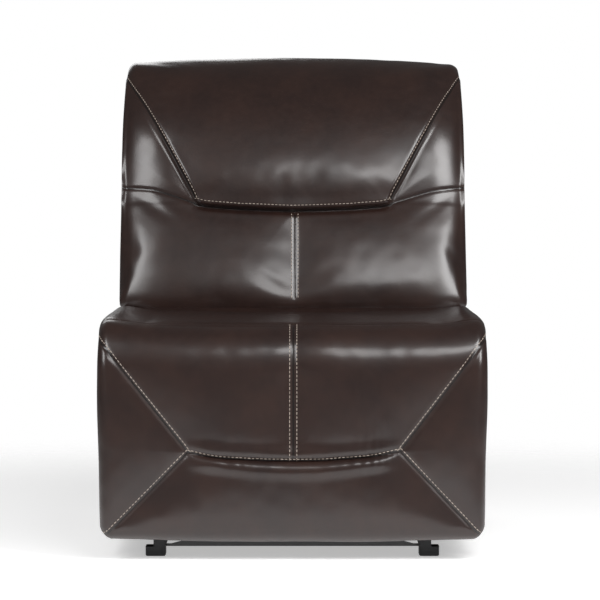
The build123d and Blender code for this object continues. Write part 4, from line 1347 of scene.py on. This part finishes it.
BOARDS = (
    ("side_panel_left", "seat_side_cover_left", "seat"),
    ("side_panel_right", "seat_side_cover_right", "seat"),
    ("rear_panel", "seat_rear_cover", "seat"),
    ("outer_back", "outer_back_cover", "back"),
    ("back_side_panel_left", "back_side_cover_left", "back"),
    ("back_side_panel_right", "back_side_cover_right", "back"),
)

# The CAD pieces that stay, by the start of their node's name.
NODE_FINISHES = {
    TIMBER: ("seat_front_rail", "seat_rear_rail", "seat_front_board", "back_top_rail"),
    STAINED_TIMBER: ("seat_side_rail", "back_side_rail", "back_bottom_rail", "footrest_board"),
    BLACK_STEEL: ("base_rail", "base_cross_rail", "base_pivot_pins"),
    MECHANISM: (
        "front_swing", "rear_swing", "seat_plate_left", "seat_plate_right", "seat_pivot_pins",
        "back_bracket_left", "back_bracket_right", "rear_ottoman", "ottoman_drive",
        "front_ottoman", "upper_ottoman", "lower_ottoman", "footrest_bracket",
    ),
    PLASTIC: ("foot_", "release_"),
    ZINC: ("seat_plate_screws", "back_bracket_screws", "footrest_screws"),
    SPRING_WIRE: ("seat_springs", "back_springs"),
}


# ---------------------------------------------------------------- studio


@dataclass(frozen=True)
class Softbox:
    """A rectangular soft light: where it hangs, what it faces, its size and its watts."""

    name: str
    place: Spot
    aim: Spot
    size: Flat
    watts: float

    def hang(self) -> None:
        """Add the light to the scene."""
        light = bpy.data.lights.new(self.name, "AREA")
        light.shape, light.energy = "RECTANGLE", self.watts
        light.size, light.size_y = self.size
        obj = add_object(self.name, light)
        obj.location = self.place
        beam = Vector(self.aim) - Vector(self.place)
        obj.rotation_euler = beam.to_track_quat("-Z", "Y").to_euler()


SOFTBOXES = (
    Softbox("softbox_left", (-1.9, -2.1, 2.1), (0, -0.1, 0.8), (0.9, 2.0), 50),
    Softbox("softbox_right", (1.9, -2.1, 2.1), (0, -0.1, 0.8), (0.9, 2.0), 75),
    Softbox("softbox_front", (0.7, -2.6, 2.35), (0, -0.1, 0.6), (1.2, 0.75), 23),
    Softbox("softbox_rear", (-0.9, 2.9, 1.9), (0, -0.1, 0.6), (1.8, 1.0), 12),
)
# The paper disc under the chair: its radius, its sides, and how far it lies under the feet.
PAPER_RADIUS, PAPER_SIDES, PAPER_DROP = 2.6, 96, 0.0006
# Brightness of the surroundings as the leather mirrors them; the camera sees them at 1.
MIRRORED_WORLD = 0.12
LENS_MM, SENSOR_MM = 169.26, 36.0
EYE = (0.0152, -5.98, 0.75)
TILT_DOWN = 2.466


def paper_finish() -> Material:
    """White paper that fades into the white surroundings away from the chair.

    Returns:
        The floor's material.
    """
    material, tree = blank_material("white_paper")
    place = add_node(tree, "ShaderNodeTexCoord", out=Coords.OBJECT.value)
    reach = add_node(tree, "ShaderNodeVectorMath", {0: place}, "Value", operation="LENGTH")
    fibre = noise(tree, place, 600.0, 3.0)
    surface = {
        "Base Color": paint("#f6f6f6"),
        "Roughness": 0.9,
        "Alpha": remap(tree, reach, (0.9, 2.3), (1.0, 0.0), "SMOOTHSTEP"),
        "Normal": bumped(tree, fibre, 0.2, 0.2),
        "Emission Color": paint("#ffffff"),
        "Emission Strength": 0.45,
    }
    shade(tree, surface)
    return material


def build_studio() -> None:
    """Paper disc, even white surroundings, soft lights, and the camera at the photo's angle."""
    scene = bpy.context.scene
    scene.view_settings.view_transform = "Standard"
    world = bpy.data.worlds.new("white_studio")
    world.use_nodes = True
    sky = world.node_tree.nodes["Background"]
    # The camera sees white behind the chair, while the leather mirrors the dark studio in front.
    ray = add_node(world.node_tree, "ShaderNodeLightPath", out="Is Camera Ray")
    power = remap(world.node_tree, ray, (0.0, 1.0), (MIRRORED_WORLD, 1.0))
    world.node_tree.links.new(power, sky.inputs["Strength"])
    sky.inputs["Color"].default_value = (1, 1, 1, 1)
    scene.world = world
    turns = np.linspace(0, math.tau, PAPER_SIDES, endpoint=False)
    rim = [PAPER_RADIUS * np.cos(turns), PAPER_RADIUS * np.sin(turns), 0 * turns - PAPER_DROP]
    disc = [list(range(PAPER_SIDES))]
    mesh_object("paper_floor", np.column_stack(rim), disc, paper_finish())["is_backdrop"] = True
    for softbox in SOFTBOXES:
        softbox.hang()
    camera = bpy.data.cameras.new("camera")
    camera.lens, camera.sensor_width = LENS_MM, SENSOR_MM
    camera.clip_end = 60
    eye = add_object("camera", camera)
    eye.location = EYE
    eye.rotation_euler = (math.radians(90 - TILT_DOWN), 0, 0)
    scene.camera = eye


# ---------------------------------------------------------------- the chair


def upholster(cover: Shell, leather: str, thread: Material) -> tuple[Object, Object]:
    """Make a cover's leather and the stitches on it.

    Args:
        cover: The shell to build.
        leather: Name of its leather.
        thread: The thread's finish.

    Returns:
        The leather and the stitches.
    """
    body = cover.build(CoatedLeather(leather, Coords.UV, tuple(cover.seams)).build())
    stitches = StitchRow().sew(cover, f"{cover.name}_stitches", thread)
    for piece in (body, stitches):
        LOG.info("%s: %d faces", piece.name, len(piece.data.polygons))
    return body, stitches


def build_seat_cover(thread: Material) -> None:
    """Make the seat's cover, in place of the seat cushion and the footrest pad.

    Args:
        thread: The stitches' finish.
    """
    cover = SeatCover("seat_cover", seat_profile(), seat_seams(), COLUMN, (0, 0), (1, 0), (0, 1))
    body, stitches = upholster(cover, "glazed_leather_seat", thread)
    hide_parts("seat_cushion", "footrest_pad")
    for piece in (body, stitches):
        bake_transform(piece)


def build_back_cover(thread: Material) -> None:
    """Make the back's cover, which rides on the back.

    Args:
        thread: The stitches' finish.
    """
    profile = back_profile()
    place = {"origin": HINGE, "up": BACK_UP, "front": BACK_OUT}
    cover = BackCover("back_cover", profile, back_seams(profile), COLUMN, swell_cap=6.0, **place)
    body, stitches = upholster(cover, "glazed_leather_back", thread)
    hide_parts("head_cushion", "lumbar_cushion", "wing_cushion_left", "wing_cushion_right")
    for piece in (body, stitches):
        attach(piece, "back")


def main(frame: dict, cad_box: list) -> None:
    """Dress the whole chair.

    Args:
        frame: The loaded frame.
        cad_box: The CAD model's lowest and highest corners; not used.
    """
    build_studio()
    thread = THREAD.build()
    build_seat_cover(thread)
    build_back_cover(thread)
    board = CoatedLeather("glazed_leather_board", Coords.OBJECT).build()
    for node, name, body in BOARDS:
        cover_board(frame, node, name, body, board)
    for finish, starts in NODE_FINISHES.items():
        material = finish.build()
        for node in frame["nodes"]:
            if node.startswith(starts):
                dress_node(frame, node, material)


if __name__ == "__main__":
    logging.basicConfig(level=logging.INFO, format="%(name)s %(message)s")
    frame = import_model()
    main(frame, [list(corner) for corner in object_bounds()])
